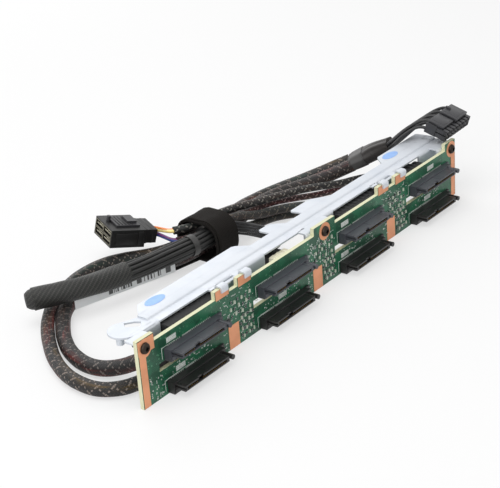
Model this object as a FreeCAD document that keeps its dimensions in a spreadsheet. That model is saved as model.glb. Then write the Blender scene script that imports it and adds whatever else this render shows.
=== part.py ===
import FreeCAD, Part
import math
import os

Vector = FreeCAD.Vector

# Drive backplane board. Frame: X along the board, Y from the receptacles to the cables, Z up from
# the surface it stands on. Millimetres.
doc = FreeCAD.newDocument("DriveBackplane")
sheet = doc.addObject("Spreadsheet::Sheet", "sheet")

SIZES = {
    # circuit board
    "board_length": 300.0,
    "board_thick": 2.4,
    "board_height": 33.4,
    "board_front": -8.25,
    "ear_rise": 4.5,
    "end_ear": 12.0,
    "mid_ear": 20.3,
    "mid_ear_place": 6.8,
    "vent_long": 20.2,
    "vent_tall": 4.4,
    "vent_inset": 4.2,
    "vent_drop": 7.9,
    "hook_tab": 11.6,
    "tab_one": 47.2,
    "tab_two": 65.8,
    "screw_inset": 4.9,
    "screw_drop": 5.3,
    "screw_hole": 1.7,
    "copper_thick": 0.12,
    "strip_wide": 4.6,
    "pad_wide": 8.6,
    "pad_tall": 13.5,
    "pad_place": 4.4,
    "ring_pad": 5.2,
    # drive receptacles
    "column_inset": 18.0,
    "last_inset": 54.0,
    "gap_clear": 1.5,
    "row_low": 4.1,
    "row_pitch": 18.6,
    "shell_long": 35.0,
    "shell_tall": 3.1,
    "shell_deep": 10.9,
    "shell_inset": 1.1,
    "shell_drop": 0.3,
    "foot_long": 41.0,
    "foot_deep": 4.5,
    "foot_tall": 6.6,
    "base_long": 44.0,
    "base_deep": 1.4,
    "slot_tall": 1.4,
    "slot_deep": 7.0,
    "slot_wall": 1.8,
    "lip_thick": 0.7,
    "groove_wide": 0.9,
    "groove_tall": 1.0,
    "nub_radius": 1.4,
    "nub_deep": 11.5,
    "nub_gap": 2.5,
    "web_deep": 8.0,
    "web_thick": 1.2,
    "key_wide": 3.6,
    "key_place": 10.6,
    "key_deep": 1.0,
    "contact_wide": 0.6,
    "contact_pitch": 1.27,
    "contact_thick": 0.3,
    # bracket
    "sheet_thick": 1.0,
    "flange_front": -0.25,
    "flange_step": 6.25,
    "flange_rear": 12.05,
    "flange_drop": 2.3,
    "step_rise": 0.9,
    "wall_tall": 11.6,
    "tab_rear": 19.75,
    "tongue_radius": 8.3,
    "lug_tall": 8.6,
    "finger_wide": 5.5,
    "hook_over": 1.4,
    "hook_tall": 3.6,
    "hook_gap": 0.2,
    "pin_radius": 2.0,
    "pin_long": 3.6,
    "mark_long": 14.0,
    "mark_wide": 7.0,
    "mark_thick": 0.15,
    # screws
    "head_radius": 3.0,
    "head_tall": 2.0,
    "shank_radius": 1.45,
    "drive_radius": 1.1,
    "drive_deep": 1.1,
    # connectors behind the board
    "header_wall": 1.2,
    "inner_radius": 4.2,
    "outer_radius": 3.8,
    "signal_one_radius": 2.4,
    "signal_two_radius": 2.0,
    "bus_radius": 2.8,
    "wire_radius": 0.8,
    "plug_wire_radius": 0.85,
    "hank_radius": 6.3,
    "hank_core_radius": 6.0,
    "shrink_radius": 5.5,
    # hook and loop tie
    "tie_left": -8.1,
    "tie_right": 12.9,
    "tie_middle": 75.25,
    "tie_half_wide": 14.2,
    "tie_half_tall": 10.95,
    "tie_corner": 9.2,
    "tie_thick": 1.8,
    # dual signal plug
    "dual_long": 22.0,
    "dual_wide": 24.0,
    "dual_tall": 11.0,
    "dual_wall": 1.3,
    "dual_mouth": 10.0,
    "collar_long": 9.0,
    "collar_wide": 18.0,
    "collar_tall": 8.5,
    # power plug
    "power_long": 15.0,
    "power_wide": 33.6,
    "power_tall": 7.0,
    "power_pitch": 4.2,
    "cavity_wide": 3.0,
    "cavity_tall": 2.4,
    "cavity_deep": 9.0,
}
# sizes that follow from the ones above; span is how far the places along the board are stretched
# from the drawn board, and gap_share the same for the gap between two columns of receptacles
DERIVED = {
    "ear_height": "=board_height + ear_rise",
    "screw_level": "=board_height + ear_rise - screw_drop",
    "column_one": "=-board_length / 2 + column_inset",
    "column_pitch": "=(board_length - column_inset - last_inset) / 3",
    "span": "=board_length / 300",
    "gap_share": "=(column_pitch - base_long - gap_clear) / 30.5",
    "flange_top": "=board_height + ear_rise - flange_drop",
    "wall_low": "=flange_top - wall_tall",
    "lug_low": "=flange_top - lug_tall",
    "hook_top": "=board_height + ear_rise + hook_over",
    "hook_low": "=hook_top - hook_tall",
    "pin_low": "=flange_top - sheet_thick - pin_long",
}
NAMED = {**SIZES, **DERIVED}
for row, (alias, value) in enumerate(NAMED.items(), start=1):
    sheet.set("A%d" % row, alias)
    sheet.set("B%d" % row, str(value))
    sheet.setAlias("B%d" % row, alias)
doc.recompute()


def size(alias):
    """One driving dimension, read back from the sheet."""
    return float(getattr(sheet, alias))


def bind(obj, prop, text):
    """Tie one property to the sheet; names of cells stand in the text as words."""
    out, word = "", ""
    for mark in str(text) + " ":
        if mark.isalnum() or mark == "_" or (mark == "." and word[:1].isdigit()):
            word += mark
        else:
            out += ("sheet." + word) if word in NAMED else word
            out += mark
            word = ""
    obj.setExpression(prop, out.strip())


def place(obj, at):
    """Bind the three coordinates of an object's own corner or centre."""
    for axis, text in zip("xyz", at):
        bind(obj, "Placement.Base." + axis, text)


def box(name, long, deep, tall, at):
    obj = doc.addObject("Part::Box", name)
    bind(obj, "Length", long)
    bind(obj, "Width", deep)
    bind(obj, "Height", tall)
    place(obj, at)
    return obj


def rod(name, radius, height, at, axis=(0, -1, 0)):
    """A cylinder from its base centre along the axis."""
    obj = doc.addObject("Part::Cylinder", name)
    bind(obj, "Radius", radius)
    bind(obj, "Height", height)
    obj.Placement.Rotation = FreeCAD.Rotation(Vector(0, 0, 1), Vector(*axis))
    place(obj, at)
    return obj


def trapezoid(name, near, far, y_near, y_far, low, high):
    """A plate whose left and right ends differ between its front and its rear edge."""
    obj = doc.addObject("Part::Wedge", name)
    for prop, text in (("Xmin", near[0]), ("Xmax", near[1]), ("X2min", far[0]), ("X2max", far[1]),
                       ("Ymin", y_near), ("Ymax", y_far), ("Zmin", low), ("Zmax", high),
                       ("Z2min", low), ("Z2max", high)):
        bind(obj, prop, text)
    return obj


def fuse(name, shapes):
    obj = doc.addObject("Part::MultiFuse", name)
    obj.Shapes = shapes
    obj.Refine = True
    return obj


def group(name, solids):
    """Several separate solids that share one node."""
    obj = doc.addObject("Part::Compound", name)
    obj.Links = solids
    return obj


def cut(name, base, tools):
    obj = doc.addObject("Part::Cut", name)
    obj.Base = base
    obj.Tool = tools[0] if len(tools) == 1 else group(name + "_tools", tools)
    return obj


nodes = []


def node(obj, label):
    """Name a finished sub-part; its label is the name of its file."""
    obj.Label = label
    nodes.append(obj)
    return obj


COLUMNS = range(4)
ROWS = range(2)
board_back = "board_front + board_thick"


def column(i):
    return "(column_one + %d * column_pitch)" % i


def in_gap(i, offset):
    """A place in the free gap to the right of column i, by its offset in the drawn gap."""
    return "%s + base_long + gap_clear + %s * gap_share" % (column(i), offset)


def along(x):
    """A place along the board, by its place on the drawn board."""
    return "(%s * span)" % x


def row_level(j):
    return "(row_low + %d * row_pitch)" % j


# circuit board with its three ears and four hook tabs
EAR_SPANS = [("-board_length / 2", "end_ear"),
             ("mid_ear_place - mid_ear / 2", "mid_ear"),
             ("board_length / 2 - end_ear", "end_ear")]
SCREW_PLACES = ["-board_length / 2 + screw_inset", "mid_ear_place", "board_length / 2 - screw_inset"]
TAB_CENTRES = ["%s + %s * span" % (column(i), tab) for i in (0, 2) for tab in ("tab_one", "tab_two")]


def circuit_board():
    blank = [box("board_field", "board_length", "board_thick", "board_height",
                 ("-board_length / 2", "board_front", 0))]
    for k, (left, wide) in enumerate(EAR_SPANS):
        blank.append(box("ear_%d" % k, wide, "board_thick", "ear_height", (left, "board_front", 0)))
    for k, centre in enumerate(TAB_CENTRES):
        blank.append(box("tab_%d" % k, "hook_tab", "board_thick", "ear_height",
                         (centre + " - hook_tab / 2", "board_front", 0)))
    holes = [rod("board_hole_%d" % k, "screw_hole", "board_thick * 3",
                 (x, "board_front + board_thick * 2", "screw_level")) for k, x in enumerate(SCREW_PLACES)]
    for i in COLUMNS:
        holes.append(box("vent_%d" % i, "vent_long", "board_thick * 3", "vent_tall",
                         (column(i) + " - vent_inset", "board_front - board_thick",
                          row_level(1) + " - vent_drop")))
    node(cut("circuit_board", fuse("board_blank", blank), holes), "backplane_board")


def copper_pads():
    """Bare copper on the front face: screw rings, hook pads, bottom pads and two edge strips."""
    face = "board_front - copper_thick"
    pads = []
    for k, centre in enumerate(TAB_CENTRES):
        pads.append(box("hook_pad_%d" % k, "hook_tab - 1", "copper_thick", "ear_rise + 0.8",
                        (centre + " - hook_tab / 2 + 0.5", face, "board_height - 0.9")))
    for i in range(3):
        pads.append(box("low_pad_%d" % i, "pad_wide * gap_share", "copper_thick", "pad_tall",
                        (in_gap(i, "pad_place"), face, 0.1)))
    for k, x in enumerate(SCREW_PLACES):
        ring = rod("pad_ring_%d" % k, "ring_pad", "copper_thick", (x, "board_front", "screw_level"))
        hole = rod("pad_ring_hole_%d" % k, "head_radius + 0.05", "copper_thick * 3",
                   (x, "board_front + copper_thick", "screw_level"))
        if k == 1:
            pads.append(cut("pad_ring_cut_%d" % k, ring, [hole]))
            continue
        left = "-board_length / 2 + 0.5" if k == 0 else "board_length / 2 - strip_wide - 0.5"
        strip = box("edge_strip_%d" % k, "strip_wide", "copper_thick", "screw_level - 0.1", (left, face, 0.1))
        parts = [ring, strip]
        if k == 0:
            parts.append(box("ear_copper", "end_ear - 0.4", "copper_thick", "ear_height - screw_level + 2.6",
                             (EAR_SPANS[k][0] + " + 0.2", face, "screw_level - 3")))
        whole = fuse("edge_copper_%d" % k, parts)
        field = box("edge_field_%d" % k, "end_ear - 0.4", "copper_thick * 3", "ear_height - 0.3",
                    (EAR_SPANS[k][0] + " + 0.2", "board_front - 2 * copper_thick", 0.05))
        trimmed = doc.addObject("Part::Common", "edge_trim_%d" % k)
        trimmed.Base = whole
        trimmed.Tool = field
        pads.append(cut("edge_cut_%d" % k, trimmed, [hole]))
    node(group("copper", pads), "copper_pads")


def receptacle(i, j):
    """One drive receptacle: base and foot on the board, a flat shell with its slot, and a guide pin."""
    tag = "%d%d" % (i, j)
    left, mid = column(i), row_level(j)
    shell_left = left + " + shell_inset"
    shell_right = shell_left + " + shell_long"
    under = mid + " - shell_drop"
    front = "board_front - shell_deep"
    base = box("base_" + tag, "base_long", "base_deep", "foot_tall",
               (left, "board_front - base_deep", mid + " - foot_tall / 2"))
    foot = box("foot_" + tag, "foot_long", "foot_deep", "foot_tall",
               (left, "board_front - foot_deep", mid + " - foot_tall / 2"))
    shell = box("shell_" + tag, "shell_long", "shell_deep", "shell_tall", (shell_left, front, under))
    nub_level = under + " + shell_tall - nub_radius - 0.3"
    nub = rod("nub_" + tag, "nub_radius", "nub_deep",
              (shell_right + " + nub_gap", "board_front", nub_level))
    web = box("web_" + tag, "nub_gap + 0.5", "web_deep", "web_thick",
              (shell_right + " - 0.5", "board_front - web_deep", nub_level + " - web_thick / 2"))
    slot = box("slot_" + tag, "shell_long - 2 * slot_wall", "slot_deep + 1", "slot_tall",
               (shell_left + " + slot_wall", front + " - 1", under + " + lip_thick"))
    key = box("key_" + tag, "key_wide", "key_deep + 1", "shell_tall",
              (shell_left + " + key_place", front + " - 1", under + " + lip_thick"))
    groove = box("groove_" + tag, "groove_wide + 1", "shell_deep - foot_deep + 1", "groove_tall",
                 (shell_left + " - 1", front + " - 1", under + " + (shell_tall - groove_tall) / 2"))
    whole = fuse("receptacle_blank_" + tag, [base, foot, shell, nub, web])
    node(cut("receptacle_" + tag, whole, [slot, key, groove]), "drive_receptacle_%d" % (1 + i + 4 * j))


SIGNAL_CONTACTS = 7
POWER_CONTACTS = 15


def receptacle_contacts():
    """Contact blades on the floor of every slot, signal group and power group beside the key."""
    blades = []
    for i in COLUMNS:
        for j in ROWS:
            for k in range(SIGNAL_CONTACTS + POWER_CONTACTS):
                if k < SIGNAL_CONTACTS:
                    start = "slot_wall + 0.4 + %d * contact_pitch" % k
                else:
                    start = "key_place + key_wide + 0.4 + %d * contact_pitch" % (k - SIGNAL_CONTACTS)
                blades.append(box("blade_%d%d_%d" % (i, j, k), "contact_wide", "slot_deep - 0.6",
                                  "contact_thick",
                                  ("%s + shell_inset + %s" % (column(i), start),
                                   "board_front - shell_deep + 0.6",
                                   row_level(j) + " - shell_drop + lip_thick")))
    node(group("contacts", blades), "receptacle_contacts")


CHIPS_ACROSS = 6
CHIPS_HIGH = 7
CHIP_WIDE = 1.0
CAPACITOR_DEEP = 0.8
CAPACITOR_TALL = 1.8
RESISTOR_DEEP = 0.45
RESISTOR_TALL = 1.6
LOW_CHIP_ROWS = 4
LOW_CHIP_START, LOW_CHIP_STEP = 14.5, 1.95
HIGH_CHIP_START, HIGH_CHIP_STEP = 7.0, 3.1
CHIP_LOW, CHIP_RISE = 3.0, 3.75
CIRCUIT_WIDE, CIRCUIT_DEEP, CIRCUIT_TALL = 5.0, 1.0, 4.0
CIRCUIT_PLACE, CIRCUIT_LOW = 0.7, 14.6


def small_parts():
    """Chip capacitors and resistors between the columns, and the larger black circuits."""
    capacitors, resistors = [], []
    for i in list(COLUMNS)[:-1]:
        for a in range(CHIPS_ACROSS):
            for b in range(CHIPS_HIGH):
                shift = 0.45 * math.sin(5.1 * a + 2.3 * b + i)
                if b < LOW_CHIP_ROWS:
                    x = in_gap(i, "%.2f" % (LOW_CHIP_START + LOW_CHIP_STEP * a + shift))
                else:
                    x = in_gap(i, "%.2f" % (HIGH_CHIP_START + HIGH_CHIP_STEP * a + shift))
                level = CHIP_LOW + CHIP_RISE * b + 0.5 * math.cos(3.7 * a + b)
                z = up_board("%.2f" % level)
                if (a + b) % 2:
                    capacitors.append(box("cap_%d_%d_%d" % (i, a, b), "%s * gap_share" % CHIP_WIDE,
                                          CAPACITOR_DEEP, CAPACITOR_TALL,
                                          (x, "board_front - %s" % CAPACITOR_DEEP, z)))
                else:
                    resistors.append(box("res_%d_%d_%d" % (i, a, b), "%s * gap_share" % (CHIP_WIDE + 0.1),
                                         RESISTOR_DEEP, RESISTOR_TALL,
                                         (x, "board_front - %s" % RESISTOR_DEEP, z)))
    node(group("capacitors", capacitors), "chip_capacitors")
    node(group("resistors", resistors), "chip_resistors")
    circuits = [box("circuit_%d" % i, "%s * gap_share" % CIRCUIT_WIDE, CIRCUIT_DEEP, CIRCUIT_TALL,
                    (in_gap(i, CIRCUIT_PLACE), "board_front - %s" % CIRCUIT_DEEP, CIRCUIT_LOW))
                for i in list(COLUMNS)[:-1]]
    node(group("circuits", circuits), "controller_circuits")


# bracket: windows are the spans of the upright wall that stay open for the connectors behind
WALL_ENDS = (-143.0, 143.0)
WINDOWS = [(-124.0, -79.0), (-38.0, -1.0), (27.0, 74.0), (97.0, 120.0)]
FINGER_SHIFTS = [1.45, 2.35, 1.45, 2.35]
REAR_TABS = [((-126.6, -34.9), (-118.2, -40.5)), ((-17.1, -1.4), (-17.4, -7.7)),
             ((13.9, 41.4), (12.6, 31.7)), ((96.9, 150.0), (103.7, 149.0))]
LUGS = [(-149.0, 13.0), (-7.0, 25.0), (133.0, 17.0)]
FRONT_STRIP = (-145.0, 297.0)
REAR_STRIP = (-127.0, 279.0)
STRIP_RISER = (-127.0, 273.0)
TONGUE_CENTRE = (-140.6, 9.0)
TONGUE_NECK = (-141.0, 14.0)
CROSS_BAR_DEEP = 2.2
CROSS_BAR_FRONT = 4.0
PIN_PLACE = (-146.0, 6.75)


def wall_pieces():
    """Upright wall between the windows, from the left lug to the right lug."""
    pieces = []
    edges = [WALL_ENDS[0]] + [x for window in WINDOWS for x in window] + [WALL_ENDS[1]]
    for k in range(0, len(edges), 2):
        pieces.append(box("wall_%d" % k, along(edges[k + 1] - edges[k]), "sheet_thick", "wall_tall",
                          (along(edges[k]), "flange_front", "wall_low")))
    return pieces


def finger_left(k):
    """The left edge of a hook, beside the middle of its tab."""
    return "%s - finger_wide / 2 + %s" % (TAB_CENTRES[k], FINGER_SHIFTS[k])


def hook(k):
    """A finger that rises behind the board, crosses its tab and turns down in front."""
    left = finger_left(k)
    inner = board_back + " + hook_gap"
    outer = "board_front - hook_gap - sheet_thick"
    reach = "(%s) - (%s)" % (inner + " + sheet_thick", outer)
    arm = box("arm_%d" % k, "finger_wide", "flange_front + 1 - (%s)" % inner, "sheet_thick",
              (left, inner, "flange_top - sheet_thick"))
    rise = box("rise_%d" % k, "finger_wide", "sheet_thick", "hook_top - flange_top + sheet_thick",
               (left, inner, "flange_top - sheet_thick"))
    top = box("hook_top_%d" % k, "finger_wide", reach, "sheet_thick", (left, outer, "hook_top - sheet_thick"))
    lip = box("hook_lip_%d" % k, "finger_wide", "sheet_thick", "hook_tall", (left, outer, "hook_low"))
    return [arm, rise, top, lip]


def bracket():
    front_low = "flange_top - sheet_thick"
    rear_top = "flange_top + step_rise"
    rear_low = "flange_top + step_rise - sheet_thick"
    blank = [box("front_strip", along(FRONT_STRIP[1]), "flange_step - flange_front", "sheet_thick",
                 (along(FRONT_STRIP[0]), "flange_front", front_low)),
             box("strip_riser", along(STRIP_RISER[1]), "sheet_thick", "sheet_thick + step_rise",
                 (along(STRIP_RISER[0]), "flange_step - sheet_thick", front_low)),
             box("rear_strip", along(REAR_STRIP[1]), "flange_rear - flange_step + sheet_thick", "sheet_thick",
                 (along(REAR_STRIP[0]), "flange_step - sheet_thick", rear_low)),
             rod("tongue_end", "tongue_radius", "sheet_thick",
                 (along(TONGUE_CENTRE[0]), TONGUE_CENTRE[1], front_low), (0, 0, 1)),
             box("tongue_neck", along(TONGUE_NECK[1]), "flange_rear - flange_step + 1", "sheet_thick",
                 (along(TONGUE_NECK[0]), "flange_step - 1", front_low))]
    for k, (near, far) in enumerate(REAR_TABS):
        blank.append(trapezoid("rear_tab_%d" % k, [along(x) for x in near], [along(x) for x in far],
                               "flange_rear - 1", "tab_rear", rear_low, rear_top))
    for k in range(len(TAB_CENTRES)):
        blank += hook(k)
    for k in (0, 2):
        blank.append(box("cross_bar_%d" % k, "(%s) - (%s)" % (finger_left(k + 1), finger_left(k)),
                         CROSS_BAR_DEEP, "sheet_thick",
                         (finger_left(k), "flange_front - %s" % CROSS_BAR_FRONT, front_low)))
    holes = []
    for k, (left, wide) in enumerate(LUGS):
        blank.append(box("lug_top_%d" % k, along(wide), "flange_front + 1 - (%s)" % board_back, "sheet_thick",
                         (along(left), board_back, front_low)))
        blank.append(box("lug_face_%d" % k, along(wide), "sheet_thick", "lug_tall",
                         (along(left), board_back, "lug_low")))
        holes.append(rod("lug_hole_%d" % k, "shank_radius + 0.05", "board_thick * 4",
                         (SCREW_PLACES[k], "board_front + board_thick * 3", "screw_level")))
    blank += wall_pieces()
    node(cut("bracket", fuse("bracket_blank", blank), holes), "mounting_bracket")


MARK_CENTRES = [(-110.0, 15.2), (110.4, 14.5)]


def touch_marks():
    """Two oval touch marks on the top of the bracket."""
    marks = []
    for k, (x, y) in enumerate(MARK_CENTRES):
        oval = doc.addObject("Part::Ellipse", "oval_%d" % k)
        bind(oval, "MajorRadius", "mark_long / 2")
        bind(oval, "MinorRadius", "mark_wide / 2")
        place(oval, (along(x), y, "flange_top + step_rise"))
        disc = doc.addObject("Part::Extrusion", "mark_%d" % k)
        disc.Base = oval
        disc.DirMode = "Custom"
        disc.Dir = Vector(0, 0, 1)
        bind(disc, "LengthFwd", "mark_thick")
        disc.Solid = True
        marks.append(disc)
    node(group("marks", marks), "touch_marks")


def bracket_fixings():
    pin = rod("pin", "pin_radius", "pin_long", (along(PIN_PLACE[0]), PIN_PLACE[1], "pin_low"), (0, 0, 1))
    node(pin, "locating_pin")
    screws = []
    for k, x in enumerate(SCREW_PLACES):
        head = rod("head_%d" % k, "head_radius", "head_tall", (x, "board_front", "screw_level"))
        shank = rod("shank_%d" % k, "shank_radius", "board_thick + sheet_thick + 2.5",
                    (x, board_back + " + sheet_thick + 2", "screw_level"))
        drive = rod("drive_%d" % k, "drive_radius", "drive_deep + 1",
                    (x, "board_front - head_tall + drive_deep", "screw_level"))
        screws.append(cut("screw_%d" % k, fuse("screw_blank_%d" % k, [head, shank]), [drive]))
    node(group("screws", screws), "board_screws")


# connectors behind the board: (label, left, right, depth from the board, low, high)
HEADERS = [("power_header_left", -134.0, -120.0, 5.0, 8.5, 20.5),
           ("power_header_low", -119.0, -101.0, 3.6, 0.6, 9.0),
           ("spare_signal_header", -123.5, -79.5, 19.6, 21.0, 33.5),
           ("fan_header", -34.0, -20.0, 6.1, 20.0, 31.5),
           ("bus_header", 27.5, 73.5, 9.6, 21.0, 33.0),
           ("sideband_header", 98.0, 119.0, 8.0, 20.0, 32.0)]
# plugs in those headers: (label, left, right, header depth, own depth, low, high)
PLUGS = [("power_plug_left", -133.5, -120.5, 5.0, 7.6, 8.8, 20.2),
         ("power_plug_low", -119.0, -103.0, 3.6, 7.4, 0.3, 9.0),
         ("fan_plug", -33.0, -21.0, 6.1, 12.5, 20.6, 30.8),
         ("bus_plug", 50.0, 74.0, 9.6, 8.0, 21.0, 30.5),
         ("sideband_plug", 99.0, 118.0, 8.0, 11.6, 20.4, 30.0)]


MOUTH_DEEP, MOUTH_TALL, MOUTH_REACH = 12.0, 3.2, 11.0


def up_board(z):
    """A height on the board, by its height on the drawn board."""
    return "(%s * board_height / 33.4)" % z


def rear_connectors():
    for label, left, right, depth, low, high in HEADERS:
        shell = box(label + "_shell", along(right - left), depth, up_board(high - low),
                    (along(left), board_back, up_board(low)))
        if label != "spare_signal_header":
            node(shell, label)
            continue
        mouths = []
        for k in range(2):
            wide = (right - left) / 2
            mouths.append(box("%s_mouth_%d" % (label, k), along(wide) + " - 2 * header_wall",
                              MOUTH_DEEP, MOUTH_TALL,
                              (along(left + k * wide) + " + header_wall",
                               board_back + " + %s" % (depth - MOUTH_REACH),
                               up_board((low + high) / 2) + " - %s / 2" % MOUTH_TALL)))
        node(cut(label + "_cut", shell, mouths), label)
    for label, left, right, seat, depth, low, high in PLUGS:
        node(box(label + "_shell", along(right - left), depth, up_board(high - low),
                 (along(left), board_back + " + %s" % seat, up_board(low))), label)


# cords: every route is a list of points chosen by hand
INNER_ROUTE = [(-127.1, 6.75, 13), (-128.1, 14.4, 9.8), (-131.1, 22.2, 5.9), (-136.6, 30.8, 4.5),
               (-138.4, 41.6, 4.3), (-134.0, 56.4, 4.3), (-124.4, 71.6, 4.3), (-113.4, 83.6, 4.3),
               (-102.1, 93.4, 4.3), (-91.1, 99.4, 4.3), (-78.1, 100.8, 4.3), (-64.1, 97.8, 4.3),
               (-49.1, 91.2, 4.6), (-32.6, 82.8, 5.6), (-19.1, 77.8, 6.3), (-6.1, 76.2, 6.5),
               (12.9, 76.2, 6.4), (27.9, 77.2, 7), (44.9, 80.2, 9.3), (61.9, 81.2, 10),
               (77.9, 78.8, 10), (92.9, 73.2, 10.2), (104.9, 65.2, 12.2), (113.9, 56.8, 16),
               (119.9, 49.2, 20)]
OUTER_ROUTE = [(-119.0, 4.2, 4), (-128.1, 5.2, 4), (-137.1, 7.2, 4), (-146.1, 11.2, 4),
               (-152.6, 19.8, 4), (-153.1, 33.2, 4), (-149.4, 47.2, 4), (-141.4, 62.6, 4),
               (-129.6, 77.8, 4), (-118.6, 90.2, 4), (-106.1, 100.8, 4), (-92.1, 109.2, 4),
               (-77.1, 115.2, 4), (-62.1, 118.2, 4), (-47.1, 117.2, 4), (-35.1, 111.8, 4),
               (-26.6, 102.8, 4.4), (-21.6, 93.8, 6.5), (-15.6, 87, 9), (-6.1, 84, 10.2),
               (12.9, 83.8, 10.4), (26.9, 85.2, 11.4), (43.9, 88.8, 8.5), (60.9, 93.8, 5.6),
               (77.9, 91.2, 6.2), (92.9, 83.8, 8.4), (106.9, 74.2, 11.5), (117.9, 65.2, 15.6),
               (126.3, 55.8, 20)]
SIGNAL_ONE_ROUTE = [(-16.1, 85, 21), (-10.6, 81.5, 20.8), (-3.1, 79.8, 20.5), (11.9, 79.5, 20.2),
                    (22.9, 78, 19.6), (33.9, 76.8, 18.4), (44.9, 74, 17), (57.9, 70.2, 16.2),
                    (69.9, 67.2, 15), (81.9, 63.8, 14), (94.9, 57.8, 12.7), (106.9, 50.5, 11.4),
                    (119.4, 46.8, 10.6), (124.9, 36.8, 13), (121.9, 26.2, 19), (115.9, 18.8, 24.5),
                    (113.9, 13.75, 26)]
SIGNAL_TWO_ROUTE = [(-15.6, 83.5, 14.8), (-10.1, 80, 14.5), (-2.1, 78.2, 14.1), (11.9, 78, 13.9),
                    (21.9, 76.5, 13.9), (32.9, 74.8, 13.6), (42.9, 74.2, 12.3), (53.9, 73.8, 11.6),
                    (69.9, 71.2, 9.5), (83.9, 66, 7.5), (94.9, 60.8, 6), (105.9, 56.8, 5.3),
                    (115.9, 52.2, 4.8), (119.9, 42.8, 4.8), (116.9, 32.8, 8), (110.4, 24.2, 14.5),
                    (105.9, 18.2, 21), (104.9, 13.75, 24)]
BUS_ONE_ROUTE = [(12.9, 69.5, 18.8), (21.9, 69.3, 18.2), (32.4, 69.2, 15), (43.4, 68.3, 11),
                 (55.9, 67, 9), (64.9, 60.8, 9.2), (71.4, 51.8, 9.8), (72.9, 41.2, 11.4),
                 (68.9, 31.8, 15.4), (63.9, 24.2, 20.3), (59.9, 17.9, 24), (58.4, 11.75, 25.5)]
BUS_TWO_ROUTE = [(12.9, 69.5, 13), (22.9, 68.2, 11.5), (33.9, 68, 7.2), (45.4, 70, 4.3),
                 (56.9, 69, 3.6), (67.4, 63.2, 3.3), (74.9, 54.2, 3.3), (78.9, 43.2, 4.5),
                 (78.9, 33.2, 9), (75.9, 25.2, 14.8), (72.4, 18.8, 20.8), (70.4, 11.75, 25.5)]
FAN_ROUTE = [(12.9, 65.2, 15.6), (20.9, 62.8, 12.8), (25.4, 53.2, 10.8), (23.9, 41.8, 11.5),
             (16.9, 31.8, 14.5), (6.4, 25.2, 18.5), (-5.1, 22.8, 22), (-15.6, 21.6, 24.3),
             (-23.8, 18.9, 25.3), (-26.8, 12.75, 25.6)]
SLEEVE_ROUTE = [(-114.1, 103.8, 15.4), (-105.1, 98.2, 15.4), (-91.1, 90.2, 15.4), (-76.1, 84.2, 15.2),
                (-62.8, 80.6, 15.0)]
HANK_ROUTE = [(-62.8, 80.6, 15.0), (-52.2, 77.73, 14.84), (-39.1, 75.4, 14.9), (-25.1, 72.0, 15.2),
              (-10.1, 69.2, 15.5), (12.9, 68.8, 15.6)]


def spot(x, y, z):
    """A point of the loom, whose places along the board follow the board's length."""
    return Vector(x * size("span"), y, z)


def tube(name, at, radius):
    """Straight runs joined by tangent arcs, swept with a round section."""
    edges = []
    start = at[0]
    for k in range(1, len(at) - 1):
        before = at[k] - at[k - 1]
        after = at[k + 1] - at[k]
        turn = before.getAngle(after)
        trim = 0.45 * min(before.Length, after.Length)
        bend = trim / math.tan(turn / 2)
        if bend < 3 * 2 * radius:
            print("%s bend %d: radius %.1f mm, %.1f diameters" % (name, k, bend, bend / (2 * radius)))
        before.normalize()
        after.normalize()
        enter = at[k] - before * trim
        leave = at[k] + after * trim
        inward = after - before
        inward.normalize()
        crown = at[k] + inward * (math.hypot(bend, trim) - bend)
        edges.append(Part.LineSegment(start, enter).toShape())
        edges.append(Part.Arc(enter, crown, leave).toShape())
        start = leave
    edges.append(Part.LineSegment(start, at[-1]).toShape())
    path = Part.Wire(edges)
    first = at[1] - at[0]
    section = Part.Wire(Part.Circle(at[0], first, radius).toShape())
    solid = path.makePipeShell([section], True, False)
    expected = math.pi * radius ** 2 * path.Length
    if abs(solid.Volume - expected) > 0.01 * expected:
        raise ValueError("%s: volume %.1f against %.1f" % (name, solid.Volume, expected))
    print("%s: %.1f mm long" % (name, path.Length))
    return solid


def trimmed(shape, *labels):
    """A cord without what would reach into the pieces that it meets."""
    for piece in nodes:
        if piece.Label in labels:
            shape = shape.cut(piece.Shape)
    return shape


def feature(name, shape, label):
    obj = doc.addObject("Part::Feature", name)
    obj.Shape = shape
    return node(obj, label)


# free cords: (label, route, radius, the pieces that it ends on)
CORDS = [("hank_sleeve", SLEEVE_ROUTE, "hank_radius", []),
         ("cable_hank", HANK_ROUTE, "hank_core_radius", ["hank_sleeve"]),
         ("power_cable_inner", INNER_ROUTE, "inner_radius", ["power_plug_left", "heat_shrink_sleeve"]),
         ("power_cable_outer", OUTER_ROUTE, "outer_radius", ["power_plug_low", "heat_shrink_sleeve"]),
         ("signal_cable_1", SIGNAL_ONE_ROUTE, "signal_one_radius", ["sideband_plug"]),
         ("signal_cable_2", SIGNAL_TWO_ROUTE, "signal_two_radius", ["sideband_plug"]),
         ("bus_cable_1", BUS_ONE_ROUTE, "bus_radius", ["bus_plug", "cable_hank"]),
         ("bus_cable_2", BUS_TWO_ROUTE, "bus_radius", ["bus_plug", "cable_hank"])]
FAN_WIRES = 5
FAN_PITCH = 1.8


def free_cords():
    for label, route, radius, ends in CORDS:
        points = [spot(*point) for point in route]
        feature(label + "_tube", trimmed(tube(label, points, size(radius)), *ends), label)
    wires = []
    for k in range(FAN_WIRES):
        lift = FAN_PITCH * (k - (FAN_WIRES - 1) / 2)
        route = [spot(x, y, z + lift) for x, y, z in FAN_ROUTE]
        wires.append(trimmed(tube("fan_wire_%d" % k, route, size("wire_radius")), "fan_plug", "cable_hank"))
    feature("fan_wire_group", Part.makeCompound(wires), "fan_wires")


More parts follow.
